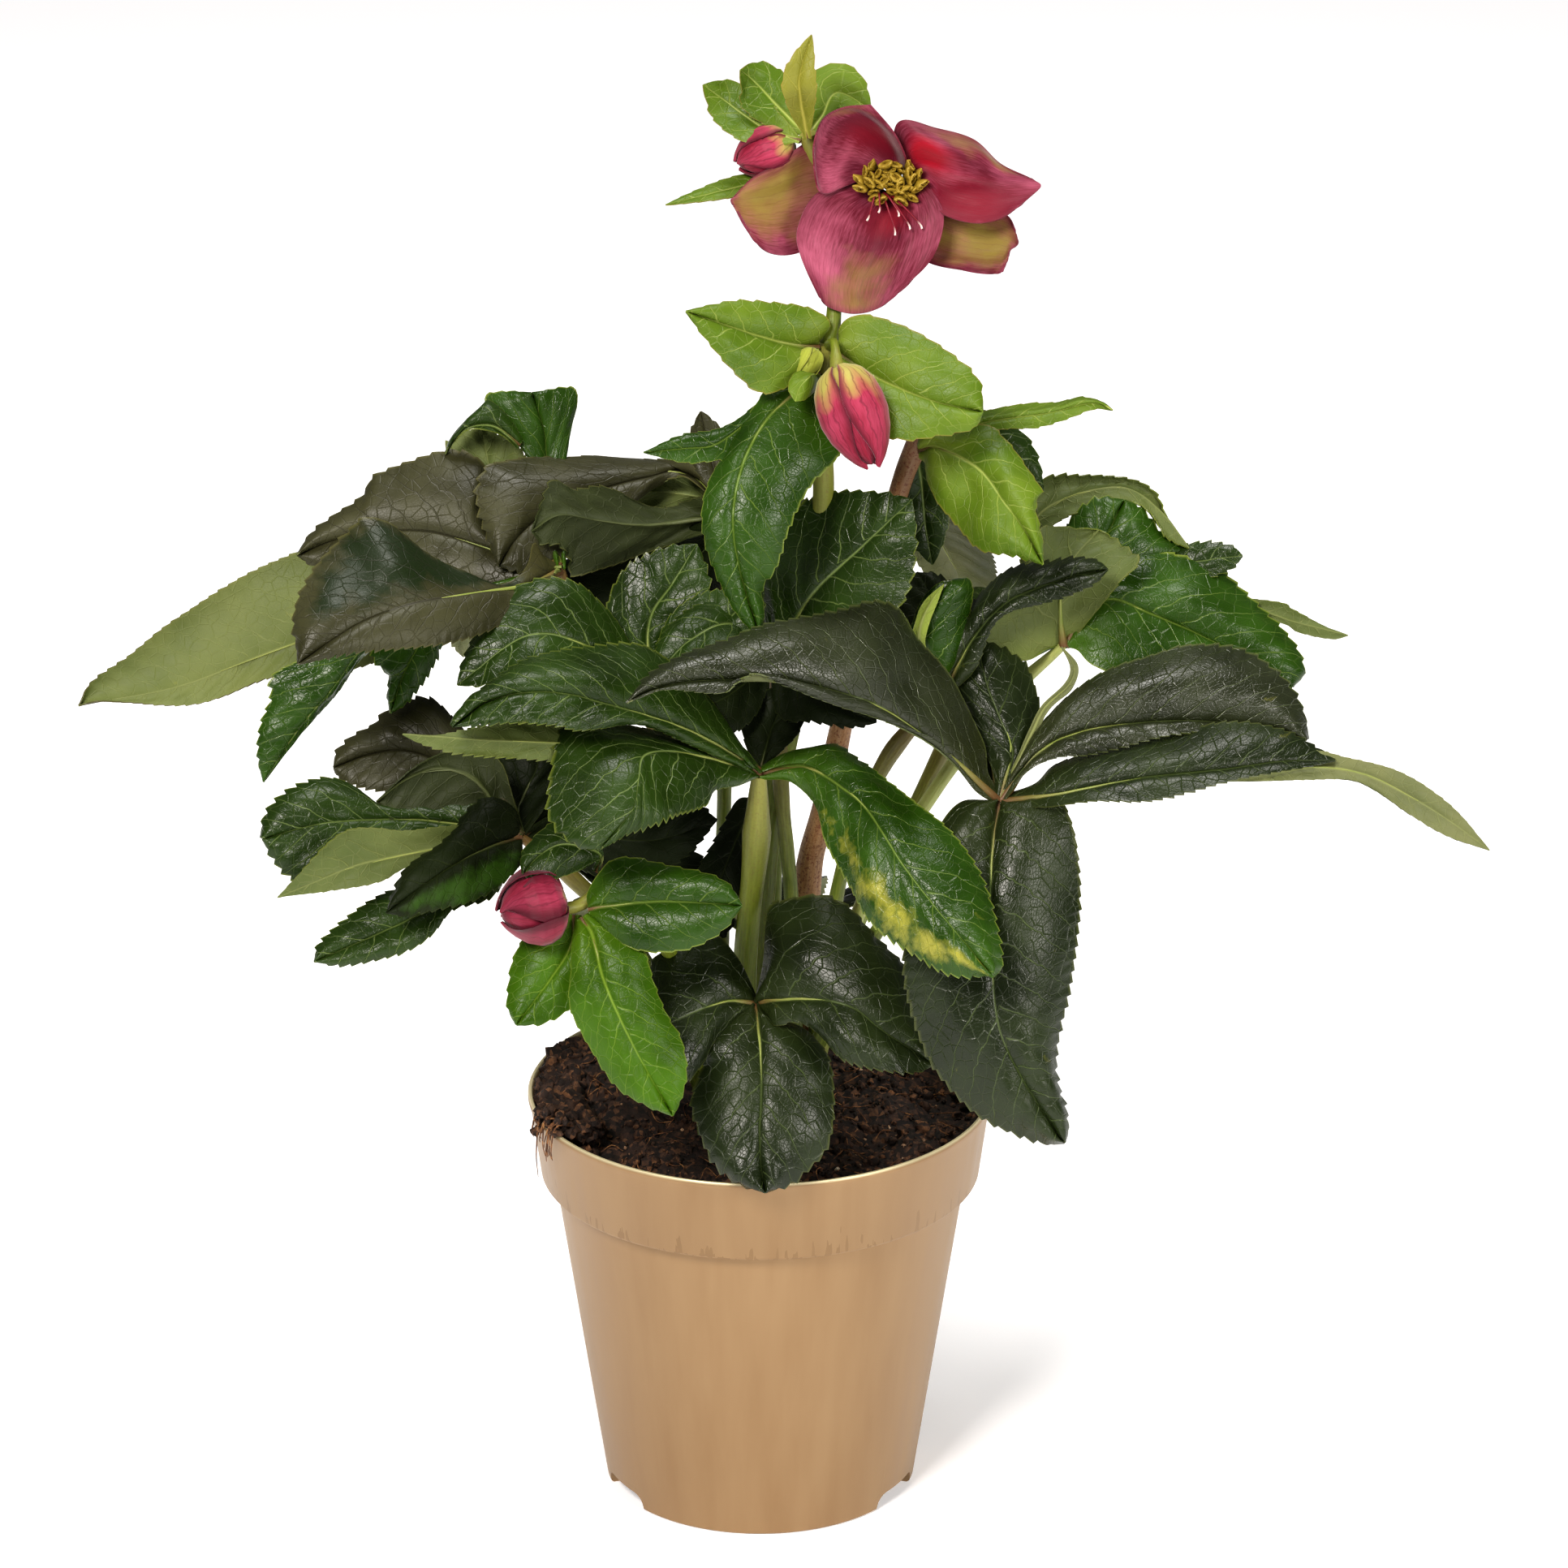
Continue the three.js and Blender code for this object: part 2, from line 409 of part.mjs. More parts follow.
// ---- pot, soil and crown ----
function potSolid() {
  const { footRadius, height, wall, floor, rimRadius, rimFootRadius, rimFootHeight } = pot;
  const { neckRadius, bandStep } = pot;
  const body = latheSolid([
    [0, 0], [footRadius, 0], [neckRadius, rimFootHeight - bandStep], [rimFootRadius, rimFootHeight],
    [rimRadius, height], [rimRadius - wall, height], [rimFootRadius - wall, rimFootHeight + wall],
    [neckRadius - wall, rimFootHeight + wall], [footRadius - wall, floor], [0, floor],
  ], roundSides);
  const notches = pot.notchAngles.map((degrees) => {
    const notch = new THREE.BoxGeometry(pot.notchDepth, pot.notchWidth, 2 * pot.notchHeight);
    notch.translate(footRadius, 0, 0);
    return solid(notch.rotateZ(THREE.MathUtils.degToRad(degrees - 90)));
  });
  return notches.reduce((a, b) => a.subtract(b), body);
}

function soilSolid() {
  const inset = pot.wall + soil.gap;
  const slope = (pot.rimRadius - pot.rimFootRadius) / (pot.height - pot.rimFootHeight);
  const top = pot.rimFootRadius - inset + slope * (soil.edgeHeight - pot.rimFootHeight - pot.wall);
  const step = pot.rimFootHeight + inset;
  return latheSolid([
    [0, pot.floor + soil.gap], [pot.footRadius - inset - soil.footGap, pot.floor + soil.gap],
    [pot.neckRadius - inset, step], [pot.rimFootRadius - inset, step], [top, soil.edgeHeight],
    [soil.midRadius, soil.midHeight], [0, soil.crest],
  ], roundSides);
}

function crownSolid() {
  const dome = new THREE.SphereGeometry(crown.radius, crownSides, crownRings);
  dome.scale(1, crown.halfHeight / crown.radius, 1).rotateX(Math.PI / 2).translate(0, 0, crown.z);
  return solid(dome);
}

// ---- flower eye and buds ----
function nectarySolid(grow) {
  const ring = new THREE.TorusGeometry(flowerEye.ring, flowerEye.tube + grow, thinSides, ringSides);
  return solid(turnTo(ring, flowerEye.axis).translate(...flowerEye.at));
}

function pistilSolid() {
  const heart = ballSolid(flowerEye.at, flowerEye.heart);
  const styles = styleTips.map((tip) => {
    const middle = vec(flowerEye.at).lerp(vec(tip), 0.5).add(vec(flowerEye.styleBow));
    return stalkSolid([flowerEye.at, middle.toArray(), tip], flowerEye.styleRadii, 0);
  });
  return joined([heart, ...styles]);
}

// An egg from its stalk end to its tip.
function budSolid(bud, grow) {
  const axis = vec(bud.to).sub(vec(bud.from));
  const length = axis.length();
  const points = budOutline.map(([r, z]) => new THREE.Vector2(
    r ? r * bud.radius + grow : 0, z * (length + 2 * grow) - grow));
  const egg = new THREE.LatheGeometry(points, budSides).rotateX(Math.PI / 2);
  return solid(turnTo(egg, axis.toArray()).translate(...bud.from));
}

// ---- assembly ----
const plant = new THREE.Group();

function addPiece(name, finish, body) {
  const material = new THREE.MeshStandardMaterial(finishes[finish]);
  const mesh = new THREE.Mesh(toGeometry(largest(body)), material);
  mesh.name = name;
  plant.add(mesh);
}

// Each organ has a stalk, a blade or both; wide is the same shape with room left round it.
function organ(name, finish, stalk, blade) {
  return { name, finish, stalk: stalk?.(0), stalkWide: stalk?.(clearance), blade: blade?.(0),
    bladeWide: blade?.(clearance) };
}

function leafOrgan([name, leaf]) {
  const path = leaf.stalk ? [rootPoint(leaf.root), ...leaf.stalk, leaf.hub] : null;
  const stalk = path && ((grow) => stalkSolid(path, leafStalkRadii, grow));
  const hub = leaf.stalk ? hubRadius.leaf : hubRadius.bract;
  const blade = (grow) => joined([
    ballSolid(leaf.hub, hub + grow),
    ...leaf.leaflets.map((leaflet) => leafletSolid(leaf.hub, leaflet, grow)),
  ]);
  return organ(name, leaf.finish, stalk, blade);
}

function stemOrgan([name, stem]) {
  const start = stem.root === undefined ? [] : [rootPoint(stem.root)];
  const runs = stem.runs.map((run, i) => ({ ...run, line: i ? run.line : [...start, ...run.line] }));
  return organ(name, stem.finish, (grow) => joined(runs.map((run) => stalkSolid(run.line, run.radii, grow))));
}

const organs = [
  ...Object.entries(stems).map(stemOrgan),
  organ('bud_stalk', 'greenStem', (grow) => stalkSolid(budStalk.line, budStalk.radii, grow)),
  ...Object.entries(buds).map(([name, bud]) => organ(name, bud.finish, (grow) => budSolid(bud, grow))),
  organ('nectary_ring', 'nectary', (grow) => nectarySolid(grow)),
  organ('pistils', 'pistil', () => pistilSolid()),
  ...Object.entries(sepals).map(([name, sepal]) => organ(
    name, 'sepal', undefined, (grow) => leafletSolid(sepal.hub, sepal, grow))),
  ...Object.entries(leaves).map(leafOrgan),
  ...Object.entries(bracts).map(leafOrgan),
];

const potBody = potSolid();
const soilBody = soilSolid();
const raisedSoil = soilBody.translate([0, 0, clearance]);
const crownBody = crownSolid().subtract(raisedSoil).subtract(potBody);
const ground = raisedSoil.add(crownBody.translate([0, 0, clearance])).add(crownBody);
addPiece('pot', 'gold', potBody);
addPiece('soil', 'peat', soilBody);

// Stalks are cut only by the ground and by the stalks before them, blades by every stalk but their
// own and by the blades before them, so that no two pieces share any space.
const stalkRoom = [];
const bladeRoom = [];
organs.forEach((piece) => {
  if (!piece.stalk) return;
  piece.stalk = stalkRoom.reduce((body, { room }) => body.subtract(room), piece.stalk.subtract(ground));
  stalkRoom.push({ name: piece.name, room: piece.stalkWide });
});
addPiece('crown', 'greenStem', crownBody);
organs.forEach((piece) => {
  let body = piece.stalk;
  if (piece.blade) {
    const others = stalkRoom.filter(({ name }) => name !== piece.name);
    const blade = [...others, ...bladeRoom].reduce((cut, { room }) => cut.subtract(room),
      piece.blade.subtract(ground).subtract(potBody));
    body = body ? largest(body).add(blade) : blade;
    bladeRoom.push({ name: piece.name, room: piece.bladeWide });
  }
  addPiece(piece.name, piece.finish, body);
});

export default plant;
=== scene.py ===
import json
import math

import bpy
import numpy as np
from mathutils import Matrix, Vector

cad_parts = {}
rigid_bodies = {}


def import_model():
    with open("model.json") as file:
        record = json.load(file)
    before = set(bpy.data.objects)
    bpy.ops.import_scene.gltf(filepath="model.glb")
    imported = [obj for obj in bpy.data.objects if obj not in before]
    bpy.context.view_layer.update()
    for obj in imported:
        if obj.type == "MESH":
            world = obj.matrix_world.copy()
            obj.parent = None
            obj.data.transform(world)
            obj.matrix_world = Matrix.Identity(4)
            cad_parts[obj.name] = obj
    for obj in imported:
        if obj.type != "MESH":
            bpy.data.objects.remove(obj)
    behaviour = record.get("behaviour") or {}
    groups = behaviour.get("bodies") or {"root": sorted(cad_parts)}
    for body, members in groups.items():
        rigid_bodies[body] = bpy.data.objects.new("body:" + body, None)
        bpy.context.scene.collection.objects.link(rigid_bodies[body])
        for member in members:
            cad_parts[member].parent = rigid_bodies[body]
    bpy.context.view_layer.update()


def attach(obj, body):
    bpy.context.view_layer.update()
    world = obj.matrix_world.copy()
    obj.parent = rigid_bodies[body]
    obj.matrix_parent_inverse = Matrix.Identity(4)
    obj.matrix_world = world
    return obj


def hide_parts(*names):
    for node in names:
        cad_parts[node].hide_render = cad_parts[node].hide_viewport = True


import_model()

mm = 0.001  # everything below is written in millimetres


# an sRGB hex colour as the linear colour a shader takes
def hexColor(text):
    parts = [int(text[i:i + 2], 16) / 255 for i in (1, 3, 5)]
    return tuple(c / 12.92 if c <= 0.04045 else ((c + 0.055) / 1.055) ** 2.4 for c in parts) + (1.0,)


# adds a node with its settings and inputs, and gives back one of its outputs; inputs go by name or place: a
# map range takes its value at 0, from at 1 and 2, to at 3 and 4, and a mix its share at 0, colours at 6 and 7
def addNode(tree, kind, inputs=None, out=0, stops=None, **settings):
    node = tree.nodes.new("ShaderNode" + kind)
    for name, value in settings.items():
        setattr(node, name, value)
    for position, color in stops or ():
        first = position == stops[0][0]
        stop = node.color_ramp.elements[0] if first else node.color_ramp.elements.new(position)
        stop.position, stop.color = position, color
    for place, value in (inputs or {}).items():
        if isinstance(value, bpy.types.NodeSocket):
            tree.links.new(value, node.inputs[place])
        else:
            node.inputs[place].default_value = value
    return node.outputs[out]


colorMix = {"out": 2, "data_type": "RGBA"}


def newMaterial(name):
    material = bpy.data.materials.new(name)
    material.use_nodes = True
    return material, material.node_tree, material.node_tree.nodes["Principled BSDF"]


# the blade carries two attributes: blade is (mm along, mm across, share of the length), and veins is
# (mm along the side veins' own slant, 0 at the midrib to 1 at the margin, patch strength)
def leafMaterial(name, look):
    material, tree, shader = newMaterial(name)
    blade = addNode(tree, "Attribute", attribute_name="blade", out="Vector")
    veins = addNode(tree, "Attribute", attribute_name="veins", out="Vector")
    _, across, share = addNode(tree, "SeparateXYZ", {0: blade}).node.outputs
    slanted, edge, patch = addNode(tree, "SeparateXYZ", {0: veins}).node.outputs
    objectPlace = addNode(tree, "TexCoord", out="Object")
    # side veins wander a millimetre or two, and thin out towards the margin
    wander = addNode(tree, "TexNoise", {"Vector": blade, "Scale": 0.22, "Detail": 2.0})
    wandered = addNode(tree, "Math", {0: wander, 1: look["wander"], 2: slanted}, operation="MULTIPLY_ADD")
    sideDistance = addNode(tree, "Math", {0: wandered, 1: look["veinGap"] / 2}, operation="PINGPONG")
    sideWidth = addNode(tree, "MapRange", {0: edge, 3: look["sideVein"], 4: 0.16})
    sideVein = addNode(tree, "MapRange", {0: sideDistance, 2: sideWidth, 3: 1.0, 4: 0.0},
                       interpolation_type="SMOOTHSTEP")
    # the net between them, in cells of 3 mm, and a finer one of 1 mm
    net = addNode(tree, "TexVoronoi", {"Vector": blade, "Scale": 0.3}, feature="DISTANCE_TO_EDGE",
                  voronoi_dimensions="2D")
    netVein = addNode(tree, "MapRange", {0: net, 2: 0.06, 3: 1.0, 4: 0.0})
    fine = addNode(tree, "TexVoronoi", {"Vector": blade, "Scale": 1.0}, feature="DISTANCE_TO_EDGE",
                   voronoi_dimensions="2D")
    fineVein = addNode(tree, "MapRange", {0: fine, 2: 0.14, 3: 1.0, 4: 0.0})
    fromRib = addNode(tree, "Math", {0: across}, operation="ABSOLUTE")
    ribWidth = addNode(tree, "MapRange", {0: share, 3: look["midrib"], 4: 0.25})
    rib = addNode(tree, "MapRange", {0: fromRib, 2: ribWidth, 3: 1.0, 4: 0.0},
                  interpolation_type="SMOOTHSTEP")
    # the midrib is palest near the base
    ribShow = addNode(tree, "MapRange", {0: share, 1: 0.1, 2: 0.8, 3: 1.0, 4: look["sideShow"]})
    ribShown = addNode(tree, "Math", {0: rib, 1: ribShow}, operation="MULTIPLY")
    sideShown = addNode(tree, "Math", {0: sideVein, 1: look["sideShow"]}, operation="MULTIPLY")
    netShown = addNode(tree, "Math", {0: netVein, 1: look["netShow"]}, operation="MULTIPLY")
    lines = addNode(tree, "Math", {0: sideShown, 1: netShown}, operation="MAXIMUM")
    allVeins = addNode(tree, "Math", {0: ribShown, 1: lines}, operation="MAXIMUM")
    # colour: two tones in soft clouds, a third near the base and veins, patches, and a pale hard margin
    cloud = addNode(tree, "TexNoise", {"Vector": objectPlace, "Scale": 60.0, "Detail": 3.0})
    cloudShare = addNode(tree, "MapRange", {0: cloud, 1: 0.35, 2: 0.68})
    body = addNode(tree, "Mix", {0: cloudShare, 6: hexColor(look["color"]), 7: hexColor(look["second"])},
                   **colorMix)
    nearBase = addNode(tree, "MapRange", {0: share, 1: 0.0, 2: 0.3, 3: look["baseShow"], 4: 0.0})
    based = addNode(tree, "Mix", {0: nearBase, 6: body, 7: hexColor(look["base"])}, **colorMix)
    spots = addNode(tree, "TexNoise", {"Vector": blade, "Scale": 0.16, "Detail": 5.0, "Roughness": 0.65})
    spotted = addNode(tree, "Math", {0: spots, 1: 2.0, 2: patch}, operation="MULTIPLY_ADD")
    patchShare = addNode(tree, "MapRange", {0: spotted, 1: 1.35, 2: 2.0})
    patched = addNode(tree, "Mix", {0: patchShare, 6: based, 7: hexColor(look["patch"])}, **colorMix)
    veined = addNode(tree, "Mix", {0: allVeins, 6: patched, 7: hexColor(look["vein"])}, **colorMix)
    marginShare = addNode(tree, "MapRange", {0: edge, 1: 0.96, 2: 0.995, 4: look["marginShow"]})
    color = addNode(tree, "Mix", {0: marginShare, 6: veined, 7: hexColor(look["margin"])}, **colorMix)
    tree.links.new(color, shader.inputs["Base Color"])
    # gloss breaks up over the cloud and dulls along the veins
    rough = addNode(tree, "MapRange", {0: cloud, 1: 0.3, 2: 0.7, 3: look["rough"] - 0.05,
                                       4: look["rough"] + 0.08})
    tree.links.new(rough, shader.inputs["Roughness"])
    shader.inputs["IOR"].default_value = 1.45  # waxed leaf skin
    shader.inputs["Specular IOR Level"].default_value = look["gloss"]
    fineHeight = addNode(tree, "Math", {0: fineVein, 1: 0.12}, operation="MULTIPLY")
    netHeight = addNode(tree, "Math", {0: netVein, 1: 0.5, 2: fineHeight}, operation="MULTIPLY_ADD")
    lineHeight = addNode(tree, "Math", {0: sideVein, 1: netHeight}, operation="MAXIMUM")
    ribHeight = addNode(tree, "Math", {0: rib, 1: lineHeight}, operation="MAXIMUM")
    height = addNode(tree, "Math", {0: ribHeight, 1: look["relief"]}, operation="MULTIPLY")
    bump = addNode(tree, "Bump", {"Height": height, "Strength": look["bump"], "Distance": 0.35 * mm})
    tree.links.new(bump, shader.inputs["Normal"])
    return material


# leathery hellebore leaf: waxed and glossy above with sunken veins, matt and paler below with raised ones
leafLooks = {
    "plain": {"veinGap": 9.0, "wander": 3.5, "sideVein": 0.5, "midrib": 1.0, "sideShow": 0.45,
              "netShow": 0.16, "patch": "#96943C", "marginShow": 0.5, "margin": "#7A8438",
              "baseShow": 0.4, "rough": 0.33, "gloss": 0.34, "relief": -1.0, "bump": 0.55},
    # a darker copy, painted shade, for shaded leaves and dark backing leaflets; its green patch paints light
    "deepAndShaded": {"color": "#131A0A", "second": "#1C250E", "vein": "#36401E", "base": "#222A10", "rough": 0.48,
             "patch": "#2C4612", "gloss": 0.16, "sideShow": 0.3, "netShow": 0.08, "margin": "#3A4220"},
    "dark": {"color": "#1A230E", "second": "#253014", "vein": "#56643A", "base": "#333C1A", "rough": 0.32,
             "gloss": 0.38, "netShow": 0.12, "sideShow": 0.55, "margin": "#5A6030"},
    "bronze": {"color": "#30301C", "second": "#3F3F28", "vein": "#28261A", "base": "#55522E", "rough": 0.4,
               "margin": "#5E5C34", "netShow": 0.25, "patch": "#1A260E", "bump": 0.4, "gloss": 0.34},
    "ash": {"color": "#212614", "second": "#2F3520", "vein": "#5E6A40", "base": "#464C24", "rough": 0.33,
            "gloss": 0.55, "netShow": 0.1, "sideShow": 0.5, "margin": "#6A7440", "bump": 0.75},
    "bright": {"color": "#213A08", "second": "#304E10", "vein": "#748A40", "base": "#567A1A", "rough": 0.3,
               "sideShow": 0.5, "netShow": 0.1, "margin": "#94A048"},
    "mid": {"color": "#1C2C09", "second": "#293E0F", "vein": "#7C8E52", "base": "#3E5C16", "rough": 0.31,
            "sideShow": 0.5, "netShow": 0.1},
    "bract": {"color": "#4A6316", "second": "#5E741E", "vein": "#A0AC5C", "base": "#868E3A", "rough": 0.4,
              "gloss": 0.28, "veinGap": 8.0, "netShow": 0.14, "margin": "#8E7A40", "bump": 0.5},
    "fresh": {"color": "#2F4C05", "second": "#426608", "vein": "#7E983A", "base": "#5C7A1A", "rough": 0.36,
              "gloss": 0.26, "veinGap": 8.0, "bump": 0.5},
    "young": {"color": "#66661E", "second": "#7A7A2A", "vein": "#A8A250", "base": "#7E8A30", "rough": 0.42,
              "veinGap": 8.0, "sideShow": 0.3, "netShow": 0.1, "margin": "#9A6A3A", "bump": 0.4},
}
underLooks = {
    "plain": {"vein": "#848A54", "rough": 0.55, "relief": 1.0, "bump": 0.5, "margin": "#7A7A44",
              "marginShow": 0.4, "sideShow": 0.35, "netShow": 0.18, "base": "#7E8A42"},
    # the underside of the darker copy, painted shade too
    "deepAndShaded": {"color": "#2C3318", "second": "#384022", "vein": "#545C36", "base": "#485028"},
    "dark": {"color": "#626843", "second": "#74774E"},
    "bronze": {"color": "#5C6636", "second": "#6C7442"},
    "ash": {"color": "#545A38", "second": "#666A48"},
    "bright": {"color": "#4C5826", "second": "#5C6A32"},
    "mid": {"color": "#4E5A2C", "second": "#5E6838"},
    "bract": {"color": "#7A8A36", "second": "#8A9642"},
    "fresh": {"color": "#5E7E2A", "second": "#6E8E34"},
    "young": {"color": "#8A8A3A", "second": "#9A9648"},
}
bladeFinishes = {}  # each look adds to the plain one, and each underside to its own plain one
for finish in ("deepAndShaded", "dark", "bronze", "ash", "mid", "bright", "bract", "fresh", "young"):
    top = {**leafLooks["plain"], **leafLooks[finish]}
    under = {**leafLooks["plain"], **underLooks["plain"], **underLooks[finish]}
    bladeFinishes[finish] = (leafMaterial(finish + "LeafSkin", top),
                             leafMaterial(finish + "LeafUnderside", under))


# a stalk carries stalk, (mm along, mm across, mm across), and share, 0 at its foot to 1 at its end
def stalkMaterial(name, look):
    material, tree, shader = newMaterial(name)
    stalk = addNode(tree, "Attribute", attribute_name="stalk", out="Vector")
    share = addNode(tree, "Attribute", attribute_name="share", out="Fac")
    # long fibres under the skin: noise drawn out ten times along the stalk
    drawn = addNode(tree, "Mapping", {"Vector": stalk, "Scale": (0.1, 1.0, 1.0)})
    fibre = addNode(tree, "TexNoise", {"Vector": drawn, "Scale": 1.6, "Detail": 3.0})
    fibreShare = addNode(tree, "MapRange", {0: fibre, 1: 0.3, 2: 0.7})
    body = addNode(tree, "Mix", {0: fibreShare, 6: hexColor(look["color"]), 7: hexColor(look["second"])},
                   **colorMix)
    toEnd = addNode(tree, "MapRange", {0: share, 1: look["endFrom"], 2: 1.0, 4: look["endShow"]})
    ended = addNode(tree, "Mix", {0: toEnd, 6: body, 7: hexColor(look["end"])}, **colorMix)
    atStart = addNode(tree, "MapRange", {0: share, 1: 0.02, 2: 0.3, 3: look["startShow"], 4: 0.0})
    started = addNode(tree, "Mix", {0: atStart, 6: ended, 7: hexColor(look["start"])}, **colorMix)
    # speckles of a third of a millimetre
    speck = addNode(tree, "TexNoise", {"Vector": stalk, "Scale": 1.3, "Detail": 4.0, "Roughness": 0.7})
    speckShare = addNode(tree, "MapRange", {0: speck, 1: 0.52, 2: 0.6, 4: look["speckShow"]})
    color = addNode(tree, "Mix", {0: speckShare, 6: started, 7: hexColor(look["speck"])}, **colorMix)
    tree.links.new(color, shader.inputs["Base Color"])
    rough = addNode(tree, "MapRange", {0: speck, 1: 0.3, 2: 0.7, 3: 0.4, 4: 0.55})
    tree.links.new(rough, shader.inputs["Roughness"])
    shader.inputs["IOR"].default_value = 1.45
    bump = addNode(tree, "Bump", {"Height": fibre, "Strength": 0.5, "Distance": 0.3 * mm})
    tree.links.new(bump, shader.inputs["Normal"])
    return material


# fleshy flower stem and leaf stalk: smooth skin over long fibres, olive green, or brown with a red speckle
stalkLook = {"start": "#5E2C22", "startShow": 0.0, "endFrom": 0.55}
stalkFinishes = {
    "green": stalkMaterial("oliveStalkSkin", {
        **stalkLook, "color": "#58680E", "second": "#707E20", "end": "#8A8444", "endShow": 0.7,
        "speck": "#6A4A30", "speckShow": 0.25}),
    "red": stalkMaterial("redStalkSkin", {
        **stalkLook, "color": "#AC7C54", "second": "#C29A6E", "end": "#7A5A44", "endShow": 0.6,
        "speck": "#6A2A22", "speckShow": 0.65}),
    "petiole": stalkMaterial("leafStalkSkin", {
        **stalkLook, "color": "#56681E", "second": "#788434", "end": "#6A3A2A", "endShow": 0.7,
        "speck": "#5A4030", "speckShow": 0.2}),
    "pale": stalkMaterial("paleStalkSkin", {
        **stalkLook, "color": "#8C9850", "second": "#A6AC6A", "end": "#8E9450", "endShow": 0.4,
        "speck": "#8A6A50", "speckShow": 0.15}),
    # a darker keel, painted shade, for the leaflets painted in shade
    "shadedKeel": stalkMaterial("shadedKeelSkin", {
        **stalkLook, "color": "#464F28", "second": "#58603A", "end": "#58603A", "endShow": 0.4,
        "speck": "#5A4A34", "speckShow": 0.15, "startShow": 0.6}),
    "keel": stalkMaterial("keelSkin", {
        **stalkLook, "color": "#76863C", "second": "#929A54", "end": "#8E9450", "endShow": 0.4,
        "speck": "#8A6A50", "speckShow": 0.15, "startShow": 0.85}),
}
print("leaf and stalk materials made")


def readPoints(mesh):
    points = np.zeros(len(mesh.vertices) * 3, np.float32)
    mesh.vertices.foreach_get("co", points)
    return points.reshape(-1, 3).astype(float)


# a flat grid to bend into shape, and the place of its points along it, 0 to 1, and across it, -1 to 1
def newGrid(rows, columns):
    bpy.ops.mesh.primitive_grid_add(x_subdivisions=rows, y_subdivisions=columns, size=2)
    grid = readPoints(bpy.context.object.data)
    return bpy.context.object, (grid[:, 0] + 1) / 2, grid[:, 1]


# moves the points of a piece, and gives it its surfaces and the values that their shaders read
def dress(piece, points, surfaces, **attributes):
    mesh = piece.data
    mesh.vertices.foreach_set("co", (points * mm).astype(np.float32).ravel())
    mesh.update()
    for name, values in attributes.items():
        kind, field = ("FLOAT_VECTOR", "vector") if isinstance(values, list) else ("FLOAT", "value")
        attribute = mesh.attributes.new(name, kind, "POINT")
        attribute.data.foreach_set(field, np.array(values).T.astype(np.float32).ravel())
    for surface in surfaces:
        mesh.materials.append(surface)


def unit(vectors):
    return vectors / np.linalg.norm(vectors, axis=-1, keepdims=True)


# places and directions on the smooth curve through the points, at the given shares of its spans; each point
# may be a row of points, and then the curve is a surface
def onCurve(points, share):
    points = np.array(points, float)
    if len(points) == 2:
        points = np.array([points[0], points.mean(0), points[1]])
    spans = len(points) - 1
    padded = np.concatenate([[2 * points[0] - points[1]], points, [2 * points[-1] - points[-2]]])
    span = np.minimum((share * spans).astype(int), spans - 1)
    u = (share * spans - span).reshape(-1, *[1] * (points.ndim - 1))
    a, b, c, d = (padded[span + i] for i in range(4))
    bend, twist = 2 * a - 5 * b + 4 * c - d, 3 * b - a - 3 * c + d
    place = 0.5 * (2 * b + (c - a) * u + bend * u ** 2 + twist * u ** 3)
    return place, unit(0.5 * ((c - a) + 2 * bend * u + 3 * twist * u ** 2))


# shares of the curve that are evenly spaced along its length, and that length
def evenShares(points, share):
    fine = np.linspace(0, 1, 400)
    place, _ = onCurve(points, fine)
    run = np.concatenate([[0], np.cumsum(np.linalg.norm(np.diff(place, axis=0), axis=1))])
    return np.interp(share * run[-1], run, fine), run[-1]


# a few random waves over the unit square, about 1 high
def ripples(rng, u, v, least, most):
    total = np.zeros_like(u)
    for _ in range(5):
        turn, count, start = rng.uniform(0, math.pi), rng.uniform(least, most), rng.uniform(0, 2 * math.pi)
        total += np.sin(2 * math.pi * count * (u * math.cos(turn) + v * math.sin(turn)) + start)
    return total / 2.2


# how strongly a round spot shows on a blade; at and sideAt are its middle, and size is a share of the length
def spotOn(u, v, at, sideAt, size):
    return np.exp(-((u - at) ** 2 + ((v - sideAt) / 2) ** 2) / size ** 2)


def applyModifier(piece, kind, **settings):
    modifier = piece.modifiers.new(kind.title(), kind)
    for name, value in settings.items():
        setattr(modifier, name, value)
    bpy.context.view_layer.objects.active = piece
    bpy.ops.object.modifier_apply(modifier=modifier.name)


# turns the faces of the mesh in edit mode outwards, and leaves edit mode
def turnFacesOut():
    bpy.ops.mesh.select_all(action="SELECT")
    bpy.ops.mesh.normals_make_consistent(inside=False)
    bpy.ops.object.mode_set(mode="OBJECT")


# closes a rolled-up grid: its long edges are merged and its ends filled
def closeMesh(threshold):
    bpy.ops.object.mode_set(mode="EDIT")
    bpy.ops.mesh.select_all(action="SELECT")
    bpy.ops.mesh.remove_doubles(threshold=threshold * mm)
    bpy.ops.mesh.fill_holes(sides=0)
    turnFacesOut()


def standIn(piece, slotName, *nodes):
    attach(piece, "root")
    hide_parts(*nodes)


# joins the parts of a piece, shades it smooth up to an angle and puts it in place of its node
def finishPiece(name, parts, degrees, slotName, node):
    bpy.ops.object.select_all(action="DESELECT")
    for part in parts:
        part.select_set(True)
    bpy.context.view_layer.objects.active = parts[0]
    if len(parts) > 1:
        bpy.ops.object.join()
    whole = bpy.context.object
    whole.name = whole.data.name = name
    bpy.ops.object.shade_smooth_by_angle(angle=math.radians(degrees))
    standIn(whole, slotName, node)


